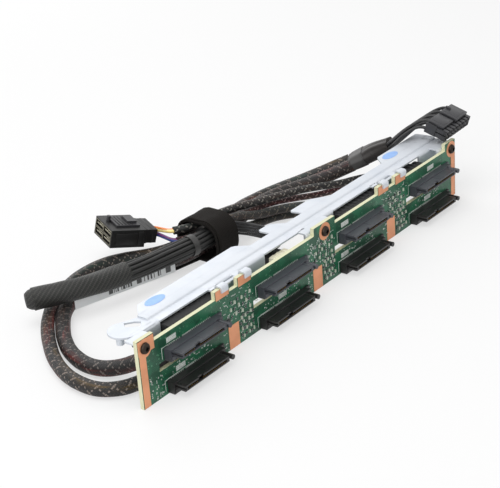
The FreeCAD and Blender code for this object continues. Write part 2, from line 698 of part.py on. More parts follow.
# the two free plugs, each modelled on its own axes: u along the plug, w across, h up
DUAL_CENTRE = spot(-29.4, 115.75, 19.1)
DUAL_TURN = FreeCAD.Rotation(-23.5, 14.1, 2.7)
POWER_LIFT = 8.5
POWER_CENTRE = spot(156.6, 0.75, size("flange_top") + POWER_LIFT)
POWER_TURN = FreeCAD.Rotation(-86.8, 18.5, -0.6)


def on_plug(centre, turn, u, w, high):
    return centre + turn.multVec(Vector(u, w, high))


def seat(obj, centre, turn, label):
    """Bring a plug's piece, modelled on the plug's own axes, to where the plug lies."""
    obj.Placement = FreeCAD.Placement(centre, turn)
    return node(obj, label)


def dual_plug():
    blank = box("dual_blank", "dual_long", "dual_wide", "dual_tall",
                ("-dual_long / 2", "-dual_wide / 2", "-dual_tall / 2"))
    mouths, inserts = [], []
    for a in range(2):
        for b in range(2):
            wide = "(dual_wide - 3 * dual_wall) / 2"
            tall = "(dual_tall - 3 * dual_wall) / 2"
            w = "-dual_wide / 2 + dual_wall + %d * (%s + dual_wall)" % (a, wide)
            low = "-dual_tall / 2 + dual_wall + %d * (%s + dual_wall)" % (b, tall)
            mouths.append(box("dual_mouth_%d%d" % (a, b), "dual_mouth + 1", wide, tall,
                              ("-dual_long / 2 - 1", w, low)))
            inserts.append(box("insert_%d%d" % (a, b), "dual_mouth - 2", "%s - 2" % wide, 1.0,
                               ("-dual_long / 2 + 2", w + " + 1", low + " + (%s - 1) / 2" % tall)))
    seat(cut("dual_housing", blank, mouths), DUAL_CENTRE, DUAL_TURN, "dual_plug_housing")
    seat(group("dual_inserts", inserts), DUAL_CENTRE, DUAL_TURN, "dual_plug_contacts")
    plate = box("latch_plate", 15.0, 15.0, 1.2, ("-dual_long / 2 + 5", -7.0, "dual_tall / 2"))
    spring = box("latch_spring", 6.0, 9.0, 1.4, ("-dual_long / 2 + 13", -4.0, "dual_tall / 2 + 1.2"))
    post = rod("latch_post", 1.2, 3.4, ("-dual_long / 2 + 4", 3.5, "dual_tall / 2"), (0, 0, 1))
    seat(fuse("dual_latch", [plate, spring, post]), DUAL_CENTRE, DUAL_TURN, "dual_plug_latch")
    collar = box("collar", "collar_long", "collar_wide", "collar_tall",
                 ("dual_long / 2", "-collar_wide / 2", "-collar_tall / 2"))
    seat(group("dual_collar", [collar]), DUAL_CENTRE, DUAL_TURN, "dual_plug_collar")


# coloured wires between the collar and the signal cables: (place across, height, cable)
PAIR_WIRES = [(-5.4, 2.2, 0), (-3.0, 2.2, 0), (-0.6, 2.2, 0),
              (-5.4, -0.6, 1), (-3.0, -0.6, 1), (-0.6, -0.6, 1)]
PAIR_RADIUS = 0.56
PAIR_MIDDLE = -3.0
PAIR_CLOSE = 0.53


def pair_wires():
    """Each wire leaves the collar, turns towards the tie and turns again into its cable."""
    wires = []
    end = size("dual_long") / 2 + size("collar_long")
    for k, (w, high, cable) in enumerate(PAIR_WIRES):
        away = w - PAIR_MIDDLE
        spread = away * PAIR_CLOSE
        start = on_plug(DUAL_CENTRE, DUAL_TURN, end, w, high)
        leave = on_plug(DUAL_CENTRE, DUAL_TURN, end + 4.0 + 0.8 * away, w, high)
        first, second = (spot(*point) for point in (SIGNAL_ONE_ROUTE, SIGNAL_TWO_ROUTE)[cable][:2])
        face = first - second
        face.normalize()
        goal = first - Vector(-face.y, face.x, 0) * spread
        turned = goal + face * (5.0 - 0.7 * spread)
        centre_leave = on_plug(DUAL_CENTRE, DUAL_TURN, end + 4.0, PAIR_MIDDLE, high)
        middle = (centre_leave + first + face * 5.0) * 0.5 + Vector(-1.5 + 0.97 * spread, -0.2 * spread, 1.0)
        route = [start, leave, middle, turned, goal]
        wires.append(trimmed(tube("pair_wire_%d" % k, route, PAIR_RADIUS),
                             "dual_plug_collar", "signal_cable_1", "signal_cable_2"))
    feature("pair_wire_group", Part.makeCompound(wires), "dual_plug_wires")


SHRINK_LEFT = spot(123.1, 52.5, 20.0)
SHRINK_MIDDLE = spot(128.4, 41.2, 26.5)
SHRINK_RIGHT = spot(130.9, 26.8, 34.0)


def oval_wire(centre, normal, half_wide, radius):
    """A flat oval across the given direction, its long side level."""
    along = Vector(normal.x, normal.y, normal.z)
    along.normalize()
    side = Vector(along.y, -along.x, 0)
    side.normalize()
    up = side.cross(along)
    a = centre + side * half_wide
    b = centre - side * half_wide
    parts = [Part.LineSegment(a + up * radius, b + up * radius).toShape(),
             Part.Arc(b + up * radius, b - side * radius, b - up * radius).toShape(),
             Part.LineSegment(b - up * radius, a - up * radius).toShape(),
             Part.Arc(a - up * radius, a + side * radius, a + up * radius).toShape()]
    return Part.Wire(parts)


def heat_shrink():
    left_dir = Vector(0.52, -0.68, 0.42)
    mid_dir = Vector(0.3, -0.85, 0.45)
    right_dir = Vector(0.1, -0.9, 0.44)
    rings = [oval_wire(SHRINK_LEFT, left_dir, 4.6, 4.4), oval_wire(SHRINK_MIDDLE, mid_dir, 2.6, 5.0),
             oval_wire(SHRINK_RIGHT, right_dir, 0.6, size("shrink_radius") - 0.6)]
    feature("shrink", Part.makeLoft(rings, True, False), "heat_shrink_sleeve")


def power_plug():
    blank = box("power_blank", "power_long", "power_wide", "power_tall",
                ("-power_long / 2", "-power_wide / 2", "-power_tall / 2"))
    cavities, terminals = [], []
    for a in range(8):
        for b in range(2):
            w = "-power_wide / 2 + %d * power_pitch + (power_pitch - cavity_wide) / 2" % a
            low = "-power_tall / 2 + 0.7 + %d * (power_tall - 1.4 - cavity_tall)" % b
            cavities.append(box("cavity_%d%d" % (a, b), "cavity_deep + 1", "cavity_wide", "cavity_tall",
                                ("power_long / 2 - cavity_deep", w, low)))
            terminals.append(box("terminal_%d%d" % (a, b), "cavity_deep - 1.5", "cavity_wide - 1.2",
                                 "cavity_tall - 1.0", ("power_long / 2 - cavity_deep", w + " + 0.6",
                                                       low + " + 0.5")))
    seat(cut("power_housing", blank, cavities), POWER_CENTRE, POWER_TURN, "power_plug_housing")
    seat(group("power_terminals", terminals), POWER_CENTRE, POWER_TURN, "power_plug_terminals")
    low_plate = box("low_plate", 11.0, 13.6, 1.6, ("-power_long / 2 + 0.5", -15.8, "power_tall / 2"))
    high_plate = box("high_plate", 12.0, 15.4, 2.4, ("-power_long / 2 + 0.5", -0.6, "power_tall / 2"))
    spike = box("spike", 4.0, 1.6, 1.6, ("-power_long / 2 + 0.5", 6.0, "power_tall / 2 + 2.4"))
    seat(fuse("power_latch", [low_plate, high_plate, spike]), POWER_CENTRE, POWER_TURN, "power_plug_latch")


def plug_wires():
    """Eight wires from the mouth of the heat-shrink sleeve to the back of the power plug."""
    wires = []
    level = Vector(1, 0, 0)
    for k in range(8):
        a, b = k % 4, k // 4
        start = SHRINK_RIGHT + level * (2.1 * (a - 1.5)) + Vector(0, 0.45, 0.9) * (1.2 * (2 * b - 1))
        w = (2 * a + b + 0.5 - 4) * size("power_pitch")
        goal = on_plug(POWER_CENTRE, POWER_TURN, -size("power_long") / 2, w, 1.75 * (2 * b - 1))
        leave = on_plug(POWER_CENTRE, POWER_TURN, -size("power_long") / 2 - 4.5, w, 1.75 * (2 * b - 1))
        out = start + Vector(0.3 * (a - 1.5), -0.44, 0.4) * 6.0
        rise = out * 0.5 + leave * 0.5 + Vector(0, 0.8, 1.2)
        route = [start, out, rise, leave, goal]
        wires.append(trimmed(tube("plug_wire_%d" % k, route, size("plug_wire_radius")),
                             "heat_shrink_sleeve", "power_plug_housing"))
    feature("plug_wire_group", Part.makeCompound(wires), "power_plug_wires")


def rounded_ring(half_wide, half_tall, corner, left, middle_y, middle_z):
    """A closed rounded outline on the plane across X."""
    a, b = half_wide - corner, half_tall - corner
    side = corner * math.sqrt(0.5)

    def at(y, z):
        return Vector(left, middle_y + y, middle_z + z)

    edges = []
    for sy, sz in ((1, 1), (-1, 1), (-1, -1), (1, -1)):
        ends = [at(sy * half_wide, sz * b), at(sy * a, sz * half_tall)]
        if sy * sz < 0:
            ends.reverse()
        edges.append(Part.Arc(ends[0], at(sy * (a + side), sz * (b + side)), ends[1]).toShape())
    edges.append(Part.LineSegment(at(a, half_tall), at(-a, half_tall)).toShape())
    edges.append(Part.LineSegment(at(-half_wide, b), at(-half_wide, -b)).toShape())
    edges.append(Part.LineSegment(at(-a, -half_tall), at(a, -half_tall)).toShape())
    edges.append(Part.LineSegment(at(half_wide, -b), at(half_wide, b)).toShape())
    return Part.Face(Part.Wire(Part.sortEdges(edges)[0]))


TAIL_THICK = 1.2


def cable_tie():
    """Hook and loop strap round all the cables, with its loose tail on the surface."""
    thick = size("tie_thick")
    level = size("tie_half_tall") + thick
    left = size("tie_left") * size("span")
    wide = Vector((size("tie_right") - size("tie_left")) * size("span"), 0, 0)
    outer = rounded_ring(size("tie_half_wide") + thick, level, size("tie_corner") + thick,
                         left, size("tie_middle"), level)
    inner = rounded_ring(size("tie_half_wide"), size("tie_half_tall"), size("tie_corner"),
                         left, size("tie_middle"), level)
    strap = outer.extrude(wide).cut(inner.extrude(wide))
    tail = Part.makeBox(22.0, 12.0, TAIL_THICK)
    tail.Placement = FreeCAD.Placement(spot(-26.0, 78.6, 0), FreeCAD.Rotation(-11.0, 0, 0))
    feature("tie", strap.fuse(tail).removeSplitter(), "hook_and_loop_tie")


BAND_THICK = 0.45


def tape_bands():
    """Bands of tape on the hank and on the outer power cable, either side of the tie."""
    bands = []
    spots = ((HANK_ROUTE, 3, 0.50, 4.0, size("hank_core_radius"), "cable_hank"),
             (OUTER_ROUTE, 20, 0.50, 4.5, size("outer_radius"), "power_cable_outer"))
    for route, k, share, long, radius, cable in spots:
        start, end = spot(*route[k]), spot(*route[k + 1])
        along = end - start
        middle = start + along * share
        along.normalize()
        base = middle - along * (long / 2)
        band = Part.makeCylinder(radius + BAND_THICK, long, base, along)
        bands.append(trimmed(band, cable))
    feature("bands", Part.makeCompound(bands), "tape_bands")


def flag_label():
    """A narrow printed label that hangs from the underside of the hank."""
    plate = Part.makeBox(67.2, 0.3, 5.8)
    plate.Placement = FreeCAD.Placement(spot(-94.7, 91.9, 3.0), FreeCAD.Rotation(-16.0, 0, 0))
    feature("label", plate, "flag_label")


circuit_board()
copper_pads()
for row_index in ROWS:
    for column_index in COLUMNS:
        receptacle(column_index, row_index)
receptacle_contacts()
small_parts()
bracket()
touch_marks()
bracket_fixings()
rear_connectors()
dual_plug()
power_plug()
heat_shrink()
doc.recompute()
free_cords()
pair_wires()
plug_wires()
cable_tie()
tape_bands()
flag_label()

doc.recompute()
for obj in doc.Objects:
    if "Invalid" in obj.State or "Error" in obj.State:
        raise ValueError("failed: " + obj.Name)
for obj in nodes:
    if obj.Shape.isNull() or not obj.Shape.isValid() or not obj.Shape.Solids:
        raise ValueError("bad shape: " + obj.Label)
os.makedirs("parts", exist_ok=True)
for obj in nodes:
    obj.Shape.exportStep("parts/%s.step" % obj.Label)
print("nodes", len(nodes))
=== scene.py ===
"""Dressing of the drive backplane board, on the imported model's own frame, in metres."""
import logging
import math
from dataclasses import dataclass
from enum import Enum
from typing import Callable, Sequence, Union

import bmesh
import bpy
from bpy.types import Material, Node, NodeSocket, Object
from mathutils import Matrix, Vector
from mathutils.geometry import tessellate_polygon
from mathutils.noise import noise

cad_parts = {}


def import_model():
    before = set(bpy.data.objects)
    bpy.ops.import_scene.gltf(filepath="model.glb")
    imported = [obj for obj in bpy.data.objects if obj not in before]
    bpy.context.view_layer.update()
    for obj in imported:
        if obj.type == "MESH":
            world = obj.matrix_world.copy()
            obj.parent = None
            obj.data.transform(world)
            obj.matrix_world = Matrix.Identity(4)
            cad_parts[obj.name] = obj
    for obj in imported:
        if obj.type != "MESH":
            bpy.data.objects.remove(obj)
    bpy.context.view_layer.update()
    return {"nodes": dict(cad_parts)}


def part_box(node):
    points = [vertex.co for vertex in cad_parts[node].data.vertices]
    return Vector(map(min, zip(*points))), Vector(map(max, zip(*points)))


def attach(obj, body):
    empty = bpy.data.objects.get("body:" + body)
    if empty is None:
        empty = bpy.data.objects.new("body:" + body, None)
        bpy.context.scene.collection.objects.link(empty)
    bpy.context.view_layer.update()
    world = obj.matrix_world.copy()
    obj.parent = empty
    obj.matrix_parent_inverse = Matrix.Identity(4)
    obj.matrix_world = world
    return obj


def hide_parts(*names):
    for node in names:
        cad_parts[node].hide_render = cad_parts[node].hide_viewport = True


log = logging.getLogger("backplane")
Point = tuple[float, float, float]
Flat = tuple[float, float]
Colour = tuple[float, float, float, float]
Section = Callable[[float, float], Flat]
Number = Union["Value", float]
# One millimetre in metres; the sizes that follow are in millimetres.
MM = 0.001
BOARD_FRONT, BOARD_BACK = -8.25, -5.85
CONTACT_PITCH = 1.27
SCREWS = (-145.1, 6.8, 145.1)
SCREW_LEVEL = 32.6
# Edges of round pieces are smooth up to this many degrees.
ROUND = 80.0


class Value:
    """One number of a material, with arithmetic that adds Math nodes."""

    def __init__(self, shader: "Shader", socket: NodeSocket) -> None:
        """Wrap an output socket of the shader's tree."""
        self.shader = shader
        self.socket = socket

    def __add__(self, other: Number) -> "Value":
        """Sum."""
        return self.shader.math("ADD", self, other)

    def __radd__(self, other: float) -> "Value":
        """Sum with the number first."""
        return self.shader.math("ADD", other, self)

    def __sub__(self, other: Number) -> "Value":
        """Difference."""
        return self.shader.math("SUBTRACT", self, other)

    def __rsub__(self, other: float) -> "Value":
        """Difference with the number first."""
        return self.shader.math("SUBTRACT", other, self)

    def __mul__(self, other: Number) -> "Value":
        """Product."""
        return self.shader.math("MULTIPLY", self, other)

    def __rmul__(self, other: float) -> "Value":
        """Product with the number first."""
        return self.shader.math("MULTIPLY", other, self)

    def __truediv__(self, other: Number) -> "Value":
        """Quotient."""
        return self.shader.math("DIVIDE", self, other)

    def __mod__(self, other: Number) -> "Value":
        """Remainder, never negative."""
        return self.shader.math("FLOORED_MODULO", self, other)

    def __abs__(self) -> "Value":
        """Size without sign."""
        return self.shader.math("ABSOLUTE", self)

    def __gt__(self, other: Number) -> "Value":
        """One where this is the larger, else nought."""
        return self.shader.math("GREATER_THAN", self, other)

    def __lt__(self, other: Number) -> "Value":
        """One where this is the smaller, else nought."""
        return self.shader.math("LESS_THAN", self, other)

    def floor(self) -> "Value":
        """Whole part."""
        return self.shader.math("FLOOR", self)

    def fraction(self) -> "Value":
        """Part after the point."""
        return self.shader.math("FRACT", self)

    def sine(self) -> "Value":
        """Sine of the angle."""
        return self.shader.math("SINE", self)

    def most(self, other: Number) -> "Value":
        """The larger of the two."""
        return self.shader.math("MAXIMUM", self, other)


class Shader:
    """A material under construction: its tree, and the one way to add nodes to it."""

    def __init__(self, name: str, world: bool = False) -> None:
        """Start an empty node material, or an empty world.

        Args:
            name: Its name.
            world: Whether it is a world.
        """
        self.material = (bpy.data.worlds if world else bpy.data.materials).new(name)
        self.material.use_nodes = True
        self.tree = self.material.node_tree
        self.tree.nodes.clear()

    def node(self, kind: str, settings: dict | None = None, inputs: dict | None = None) -> Node:
        """Add a node.

        Args:
            kind: The node's type.
            settings: Its own settings, set first; "stops" fills a colour ramp.
            inputs: Values or links of its sockets, by name or number.

        Returns:
            The new node.
        """
        made = self.tree.nodes.new(kind)
        for name, setting in (settings or {}).items():
            if name == "stops":
                ramp = made.color_ramp
                while len(ramp.elements) < len(setting):
                    ramp.elements.new(0.5)
                for element, (place, colour) in zip(ramp.elements, setting):
                    element.position = place
                    element.color = colour
            else:
                setattr(made, name, setting)
        for key, given in (inputs or {}).items():
            source = given.socket if isinstance(given, Value) else given
            if isinstance(source, NodeSocket):
                self.tree.links.new(source, made.inputs[key])
            else:
                made.inputs[key].default_value = source
        return made

    def math(self, operation: str, *terms: Number) -> Value:
        """A Math node on the given terms."""
        made = self.node("ShaderNodeMath", {"operation": operation}, dict(enumerate(terms)))
        return Value(self, made.outputs[0])

    def point(self) -> NodeSocket:
        """The place on the object, in metres in the row frame."""
        return self.node("ShaderNodeTexCoord").outputs["Object"]

    def millimetres(self) -> tuple[Value, Value, Value]:
        """The place on the object, in millimetres in the row frame."""
        x, y, z = self.split(self.point())
        return x * 1000.0, y * 1000.0, z * 1000.0

    def facing(self) -> tuple[Value, Value, Value]:
        """The object-space normal's three numbers."""
        return self.split(self.node("ShaderNodeTexCoord").outputs["Normal"])

    def split(self, vector: NodeSocket) -> tuple[Value, Value, Value]:
        """The three numbers of a vector."""
        made = self.node("ShaderNodeSeparateXYZ", None, {0: vector})
        return Value(self, made.outputs[0]), Value(self, made.outputs[1]), Value(self, made.outputs[2])

    def join(self, x: Number, y: Number, z: Number) -> NodeSocket:
        """A vector of three numbers."""
        return self.node("ShaderNodeCombineXYZ", None, {0: x, 1: y, 2: z}).outputs[0]

    def along(self) -> tuple[Value, Value]:
        """Millimetres along a cord, and turns round it, from the cord's own map."""
        u, v, _ = self.split(self.node("ShaderNodeUVMap", {"uv_map": "run"}).outputs[0])
        return u, v

    def noise(self, scale: float, detail: float = 3.0, at: NodeSocket | None = None) -> Value:
        """Soft noise between nought and one."""
        inputs = {"Vector": at or self.point(), "Scale": scale, "Detail": detail, "Roughness": 0.55}
        return Value(self, self.node("ShaderNodeTexNoise", None, inputs).outputs["Fac"])

    def grid_noise(self, at: NodeSocket) -> Value:
        """A random number for each whole place."""
        made = self.node("ShaderNodeTexWhiteNoise", {"noise_dimensions": "3D"}, {"Vector": at})
        return Value(self, made.outputs["Value"])

    def ramp(self, factor: Number, stops: Sequence[tuple[float, Sequence[float]]]) -> NodeSocket:
        """Colours along a factor."""
        return self.node("ShaderNodeValToRGB", {"stops": stops}, {0: factor}).outputs[0]

    def level(self, factor: Number, low: float, high: float, first: float = 0.0, last: float = 1.0) -> Value:
        """A factor's span from low to high, spread from first to last."""
        made = self.node("ShaderNodeMapRange", None, {0: factor, 1: low, 2: high, 3: first, 4: last})
        return Value(self, made.outputs[0])

    def mix(self, factor: Number, first: object, second: object) -> NodeSocket:
        """Two colours mixed by a factor."""
        made = self.node("ShaderNodeMix", {"data_type": "RGBA"}, {0: factor, 6: first, 7: second})
        return made.outputs[2]

    def rounded(self, radius: float) -> NodeSocket:
        """A normal that is turned softly over the edges."""
        return self.node("ShaderNodeBevel", {"samples": 4}, {"Radius": radius}).outputs[0]

    def bump(self, height: Number, depth: float, strength: float = 1.0,
             normal: NodeSocket | None = None) -> NodeSocket:
        """A normal from a height, whose full step is depth metres.

        Args:
            height: The height, from nought to one.
            depth: The full step, in metres.
            strength: How far the normal follows it.
            normal: The normal to start from.

        Returns:
            The normal.
        """
        inputs = {"Height": height, "Distance": depth, "Strength": strength}
        if normal is not None:
            inputs["Normal"] = normal
        return self.node("ShaderNodeBump", None, inputs).outputs[0]

    def close(self, **sockets: object) -> Material:
        """Finish with a Principled surface; socket names are written with underscores.

        Args:
            **sockets: Values or links of the surface's sockets.

        Returns:
            The material.
        """
        inputs = {name.replace("_", " "): given for name, given in sockets.items()}
        surface = self.node("ShaderNodeBsdfPrincipled", None, inputs)
        self.node("ShaderNodeOutputMaterial", None, {0: surface.outputs[0]})
        return self.material


def linear(part: int) -> float:
    """The linear share of one screen number between 0 and 255."""
    share = part / 255
    return share / 12.92 if share <= 0.04045 else ((share + 0.055) / 1.055) ** 2.4


def rgb(red: int, green: int, blue: int) -> Colour:
    """A linear colour from the three screen numbers between 0 and 255."""
    return linear(red), linear(green), linear(blue), 1.0


def scaled(colour: Sequence[float], share: float) -> Colour:
    """A lighter or darker copy of a colour."""
    return colour[0] * share, colour[1] * share, colour[2] * share, 1.0


@dataclass(frozen=True)
class Moulded:
    """Moulded plastic with fine spark grain, soft edges and light scuffs."""

    name: str
    colour: Colour
    roughness: float = 0.42
    edge: float = 0.00025
    grain: float = 0.00001

    def build(self) -> Material:
        """Make the material.

        Returns:
            The material.
        """
        shader = Shader(self.name)
        cloud = shader.noise(160.0, 3.0)
        fine = shader.noise(9000.0, 2.0)
        scuff = shader.level(shader.noise(900.0, 4.0), 0.58, 0.72)
        base = shader.mix(cloud, scaled(self.colour, 0.86), scaled(self.colour, 1.15))
        wear_and_glint = shader.mix(scuff * 0.35, base, scaled(self.colour, 2.2))
        normal = shader.bump(fine, self.grain, 0.6, shader.rounded(self.edge))
        rough = self.roughness + 0.12 * cloud + 0.1 * scuff - 0.08
        return shader.close(Base_Color=wear_and_glint, Roughness=rough, Normal=normal)


@dataclass(frozen=True)
class Metal:
    """Bare or plated metal with soft edges, streaks and cloudy stains."""

    name: str
    colour: Colour
    stain: Colour
    roughness: float = 0.3
    metallic: float = 1.0
    edge: float = 0.0003
    streak: float = 30.0

    def build(self) -> Material:
        """Make the material.

        Returns:
            The material.
        """
        shader = Shader(self.name)
        x, y, z = shader.split(shader.point())
        cloud = shader.noise(55.0, 4.0)
        drawn = shader.noise(1.0, 3.0, shader.join(x * self.streak, y * 1800.0, z * 1800.0))
        speck = shader.level(shader.noise(2600.0, 2.0), 0.62, 0.75)
        factor = shader.level(cloud, 0.42, 0.75) * 0.55 + speck * 0.25
        base = shader.mix(factor, self.colour, self.stain)
        normal = shader.bump(drawn, 0.000012, 0.5, shader.rounded(self.edge))
        rough = self.roughness + 0.16 * cloud + 0.1 * drawn - 0.1
        return shader.close(Base_Color=base, Roughness=rough, Metallic=self.metallic, Normal=normal)


@dataclass(frozen=True)
class Laminate:
    """Green solder mask over copper tracks on both faces, and pale glass cloth at the edges."""

    name: str = "board_laminate"
    mask: Colour = rgb(10, 76, 50)
    track: Colour = rgb(28, 112, 76)
    deep: Colour = rgb(8, 54, 38)
    edge: Colour = rgb(232, 230, 200)
    cell: Flat = (9.0, 5.5)
    track_pitch: float = 0.9
    layer_pitch: float = 0.6

    def build(self) -> Material:
        """Make the material.

        Returns:
            The material.
        """
        shader = Shader(self.name)
        u, y, w = shader.millimetres()
        cell = shader.grid_noise(shader.join((u / self.cell[0]).floor(), (w / self.cell[1]).floor(), 1.0))
        vertical = cell > 0.55
        run = vertical * u + (1 - vertical) * w
        lines = ((run / self.track_pitch).fraction() < 0.42) * (cell > 0.3)
        slant = (((u + w) / 1.1).fraction() < 0.38) * (cell < 0.12)
        pour = shader.level(shader.noise(95.0, 2.0), 0.5, 0.56)
        tracks = lines.most(slant).most(pour * 0.8)
        dots = shader.node("ShaderNodeTexVoronoi", {"feature": "F1"},
                           {"Vector": shader.join(u, 0.0, w), "Scale": 0.42})
        spot = Value(shader, dots.outputs["Distance"])
        ring = (spot < 0.2) * (spot > 0.1)
        hole = spot < 0.1
        cloud = shader.noise(40.0, 3.0)
        green = shader.mix(tracks, self.mask, self.track)
        green = shader.mix(shader.level(cloud, 0.35, 0.7) * 0.5, green, self.deep)
        green = shader.mix(ring * 0.7, green, rgb(96, 160, 122))
        green = shader.mix(hole, green, rgb(6, 30, 22))
        layer = ((y - BOARD_FRONT) / self.layer_pitch).fraction() < 0.12
        glass = shader.mix(shader.noise(2500.0, 3.0) * 0.5 + layer * 0.3, self.edge, rgb(186, 190, 140))
        _, face, _ = shader.facing()
        front = abs(face) > 0.6
        colour = shader.mix(front, glass, green)
        relief = tracks * 0.7 + ring * 0.6 - hole * 0.8
        normal = shader.bump(relief, 0.00004, 0.6, shader.rounded(0.00015))
        rough = 0.62 - front * 0.3 + 0.1 * cloud
        return shader.close(Base_Color=colour, Roughness=rough, Normal=normal)


@dataclass(frozen=True)
class Braid:
    """Braided sleeve: crossing flat strands of fine filaments, with the wires inside in its gaps, and painted
    highlight specks on the filaments.
    """

    name: str
    inside: tuple[Colour, ...]
    strand: Colour = rgb(18, 16, 16)
    tracer_and_glint: Colour = rgb(112, 104, 98)
    tracer_every: float = 5.0
    around: int = 14
    pitch: float = 1.5
    gaps: float = 0.5
    seen: float = 0.35
    painted_glints: float = 0.3
    shine: float = 0.5

    def build(self) -> Material:
        """Make the material.

        Returns:
            The material.
        """
        shader = Shader(self.name)
        u, v = shader.along()
        first = u / self.pitch + v * float(self.around)
        second = u / self.pitch - v * float(self.around)
        over = ((first.floor() + second.floor()) % 2.0) < 0.5
        ridge_a = (first.fraction() * math.pi).sine()
        ridge_b = (second.fraction() * math.pi).sine()
        top = over * ridge_a + (1 - over) * ridge_b
        low = over * ridge_b + (1 - over) * ridge_a
        open_gap = shader.level((1 - ridge_a) * (1 - ridge_b), 1.0 - self.gaps, 1.2 - self.gaps)
        lines = over * (first * (8 * math.pi)).sine() + (1 - over) * (second * (8 * math.pi)).sine()
        sway = shader.noise(38.0, 1.0)
        turn = (v + 0.006 * u + 0.5 * sway) % 1.0
        count = len(self.inside)
        stops = [((k + 0.5) / count, colour) for k, colour in enumerate(self.inside)]
        wires = shader.ramp(turn, stops)
        around = v * (2 * math.pi)
        place = shader.join(around.sine() * 1.3, u * 0.035, (around + math.pi / 2).sine() * 1.3)
        patch = shader.level(shader.noise(1.6, 2.0, place), 0.46, 0.62)
        show = open_gap.most(patch * self.seen * (1 - 0.6 * top))
        marked = over * ((first.floor() % self.tracer_every) < 0.5)
        marked = marked.most((1 - over) * ((second.floor() % self.tracer_every) < 0.5))
        # Painted highlights: patches of light specks in the tracer's colour stand for gloss on the filaments.
        wear_and_glint = shader.level(shader.noise(70.0, 2.0), 0.45, 0.62)
        painted_glint = shader.level(shader.noise(1700.0, 2.0), 0.58, 0.68) * self.painted_glints * wear_and_glint
        cover = shader.mix((marked * (top > 0.5)).most(painted_glint), self.strand, self.tracer_and_glint)
        colour = shader.mix(show, cover, wires)
        height = top * 0.7 + low * 0.15 + lines * 0.1
        normal = shader.bump(height, 0.0003, 0.8)
        rough = self.shine + 0.25 * show + 0.1 * lines
        return shader.close(Base_Color=colour, Roughness=rough, Normal=normal)


@dataclass(frozen=True)
class Insulation:
    """Smooth wire insulation with a faint wave along it."""

    name: str
    colour: Colour
    roughness: float = 0.38

    def build(self) -> Material:
        """Make the material.

        Returns:
            The material.
        """
        shader = Shader(self.name)
        cloud = shader.noise(350.0, 3.0)
        fine = shader.noise(4000.0, 2.0)
        base = shader.mix(cloud, scaled(self.colour, 0.8), scaled(self.colour, 1.25))
        normal = shader.bump(fine, 0.00002, 0.4)
        return shader.close(Base_Color=base, Roughness=self.roughness + 0.15 * cloud, Normal=normal)


@dataclass(frozen=True)
class LoopFabric:
    """Hook and loop strap: a napped weave of short loops."""

    name: str = "strap_fabric"
    colour: Colour = rgb(14, 13, 12)
    nap: Colour = rgb(34, 30, 27)

    def build(self) -> Material:
        """Make the material.

        Returns:
            The material.
        """
        shader = Shader(self.name)
        x, _, _ = shader.millimetres()
        rib = ((x * (2 * math.pi / 1.1)).sine() + 1) * 0.5
        loops = shader.noise(2600.0, 3.0)
        cloud = shader.noise(130.0, 3.0)
        lint = shader.level(shader.noise(5200.0, 2.0), 0.68, 0.8)
        base = shader.mix(loops * 0.6 + rib * 0.2 + cloud * 0.2, self.colour, self.nap)
        base = shader.mix(lint * 0.25, base, rgb(86, 78, 68))
        normal = shader.bump(loops * 0.8 + rib * 0.3 + cloud * 0.4, 0.0004, 0.9)
        return shader.close(Base_Color=base, Roughness=0.85 + 0.1 * loops, Normal=normal,
                            Specular_IOR_Level=0.2)


@dataclass(frozen=True)
class BarLabel:
    """White label paper with plain bars of uneven width along it."""

    name: str = "label_bars"
    start: Flat = (-94.7, 91.9)
    turn: float = -16.0
    bars: Flat = (22.0, 64.0)
    heights: Flat = (4.4, 8.2)

    def build(self) -> Material:
        """Make the material.

        Returns:
            The material.
        """
        shader = Shader(self.name)
        x, y, tall = shader.millimetres()
        angle = math.radians(self.turn)
        run = (x - self.start[0]) * math.cos(angle) + (y - self.start[1]) * math.sin(angle)
        chance = shader.grid_noise(shader.join((run / 0.55).floor(), 3.0, 0.0))
        inside = (run > self.bars[0]) * (run < self.bars[1])
        inside = inside * (tall > self.heights[0]) * (tall < self.heights[1])
        ink = inside * (chance > 0.48)
        paper = shader.mix(shader.noise(240.0, 3.0) * 0.5, rgb(240, 241, 242), rgb(222, 224, 226))
        colour = shader.mix(ink * 0.92, paper, rgb(22, 22, 24))
        normal = shader.bump(shader.noise(800.0, 2.0), 0.00003, 0.4)
        return shader.close(Base_Color=colour, Roughness=0.5 - 0.1 * ink, Normal=normal)


@dataclass(frozen=True)
class ShrinkTube:
    """Heat-shrink tube, satin and faintly ribbed by the wires inside."""

    name: str = "shrink_tube"
    colour: Colour = rgb(34, 30, 28)

    def build(self) -> Material:
        """Make the material.

        Returns:
            The material.
        """
        shader = Shader(self.name)
        _, v = shader.along()
        rib = ((v * (2 * math.pi * 9) + shader.noise(90.0, 2.0) * 3.0).sine() + 1) * 0.5
        cross = shader.noise(420.0, 3.0)
        base = shader.mix(cross * 0.7 + rib * 0.3, scaled(self.colour, 0.75), scaled(self.colour, 1.5))
        normal = shader.bump(rib * 0.8 + cross * 0.5, 0.0006, 0.7)
        return shader.close(Base_Color=base, Roughness=0.42 + 0.15 * cross, Normal=normal)


@dataclass(frozen=True)
class TouchInk:
    """Pale blue ink on the metal, thinner at the rim."""

    name: str = "touch_ink"
    colour: Colour = rgb(136, 178, 240)

    def build(self) -> Material:
        """Make the material.

        Returns:
            The material.
        """
        shader = Shader(self.name)
        cloud = shader.noise(300.0, 4.0)
        base = shader.mix(cloud, scaled(self.colour, 0.9), rgb(164, 198, 244))
        normal = shader.bump(shader.noise(3000.0, 2.0), 0.00001, 0.5, shader.rounded(0.0001))
        return shader.close(Base_Color=base, Roughness=0.45 + 0.1 * cloud, Metallic=0.15, Normal=normal)


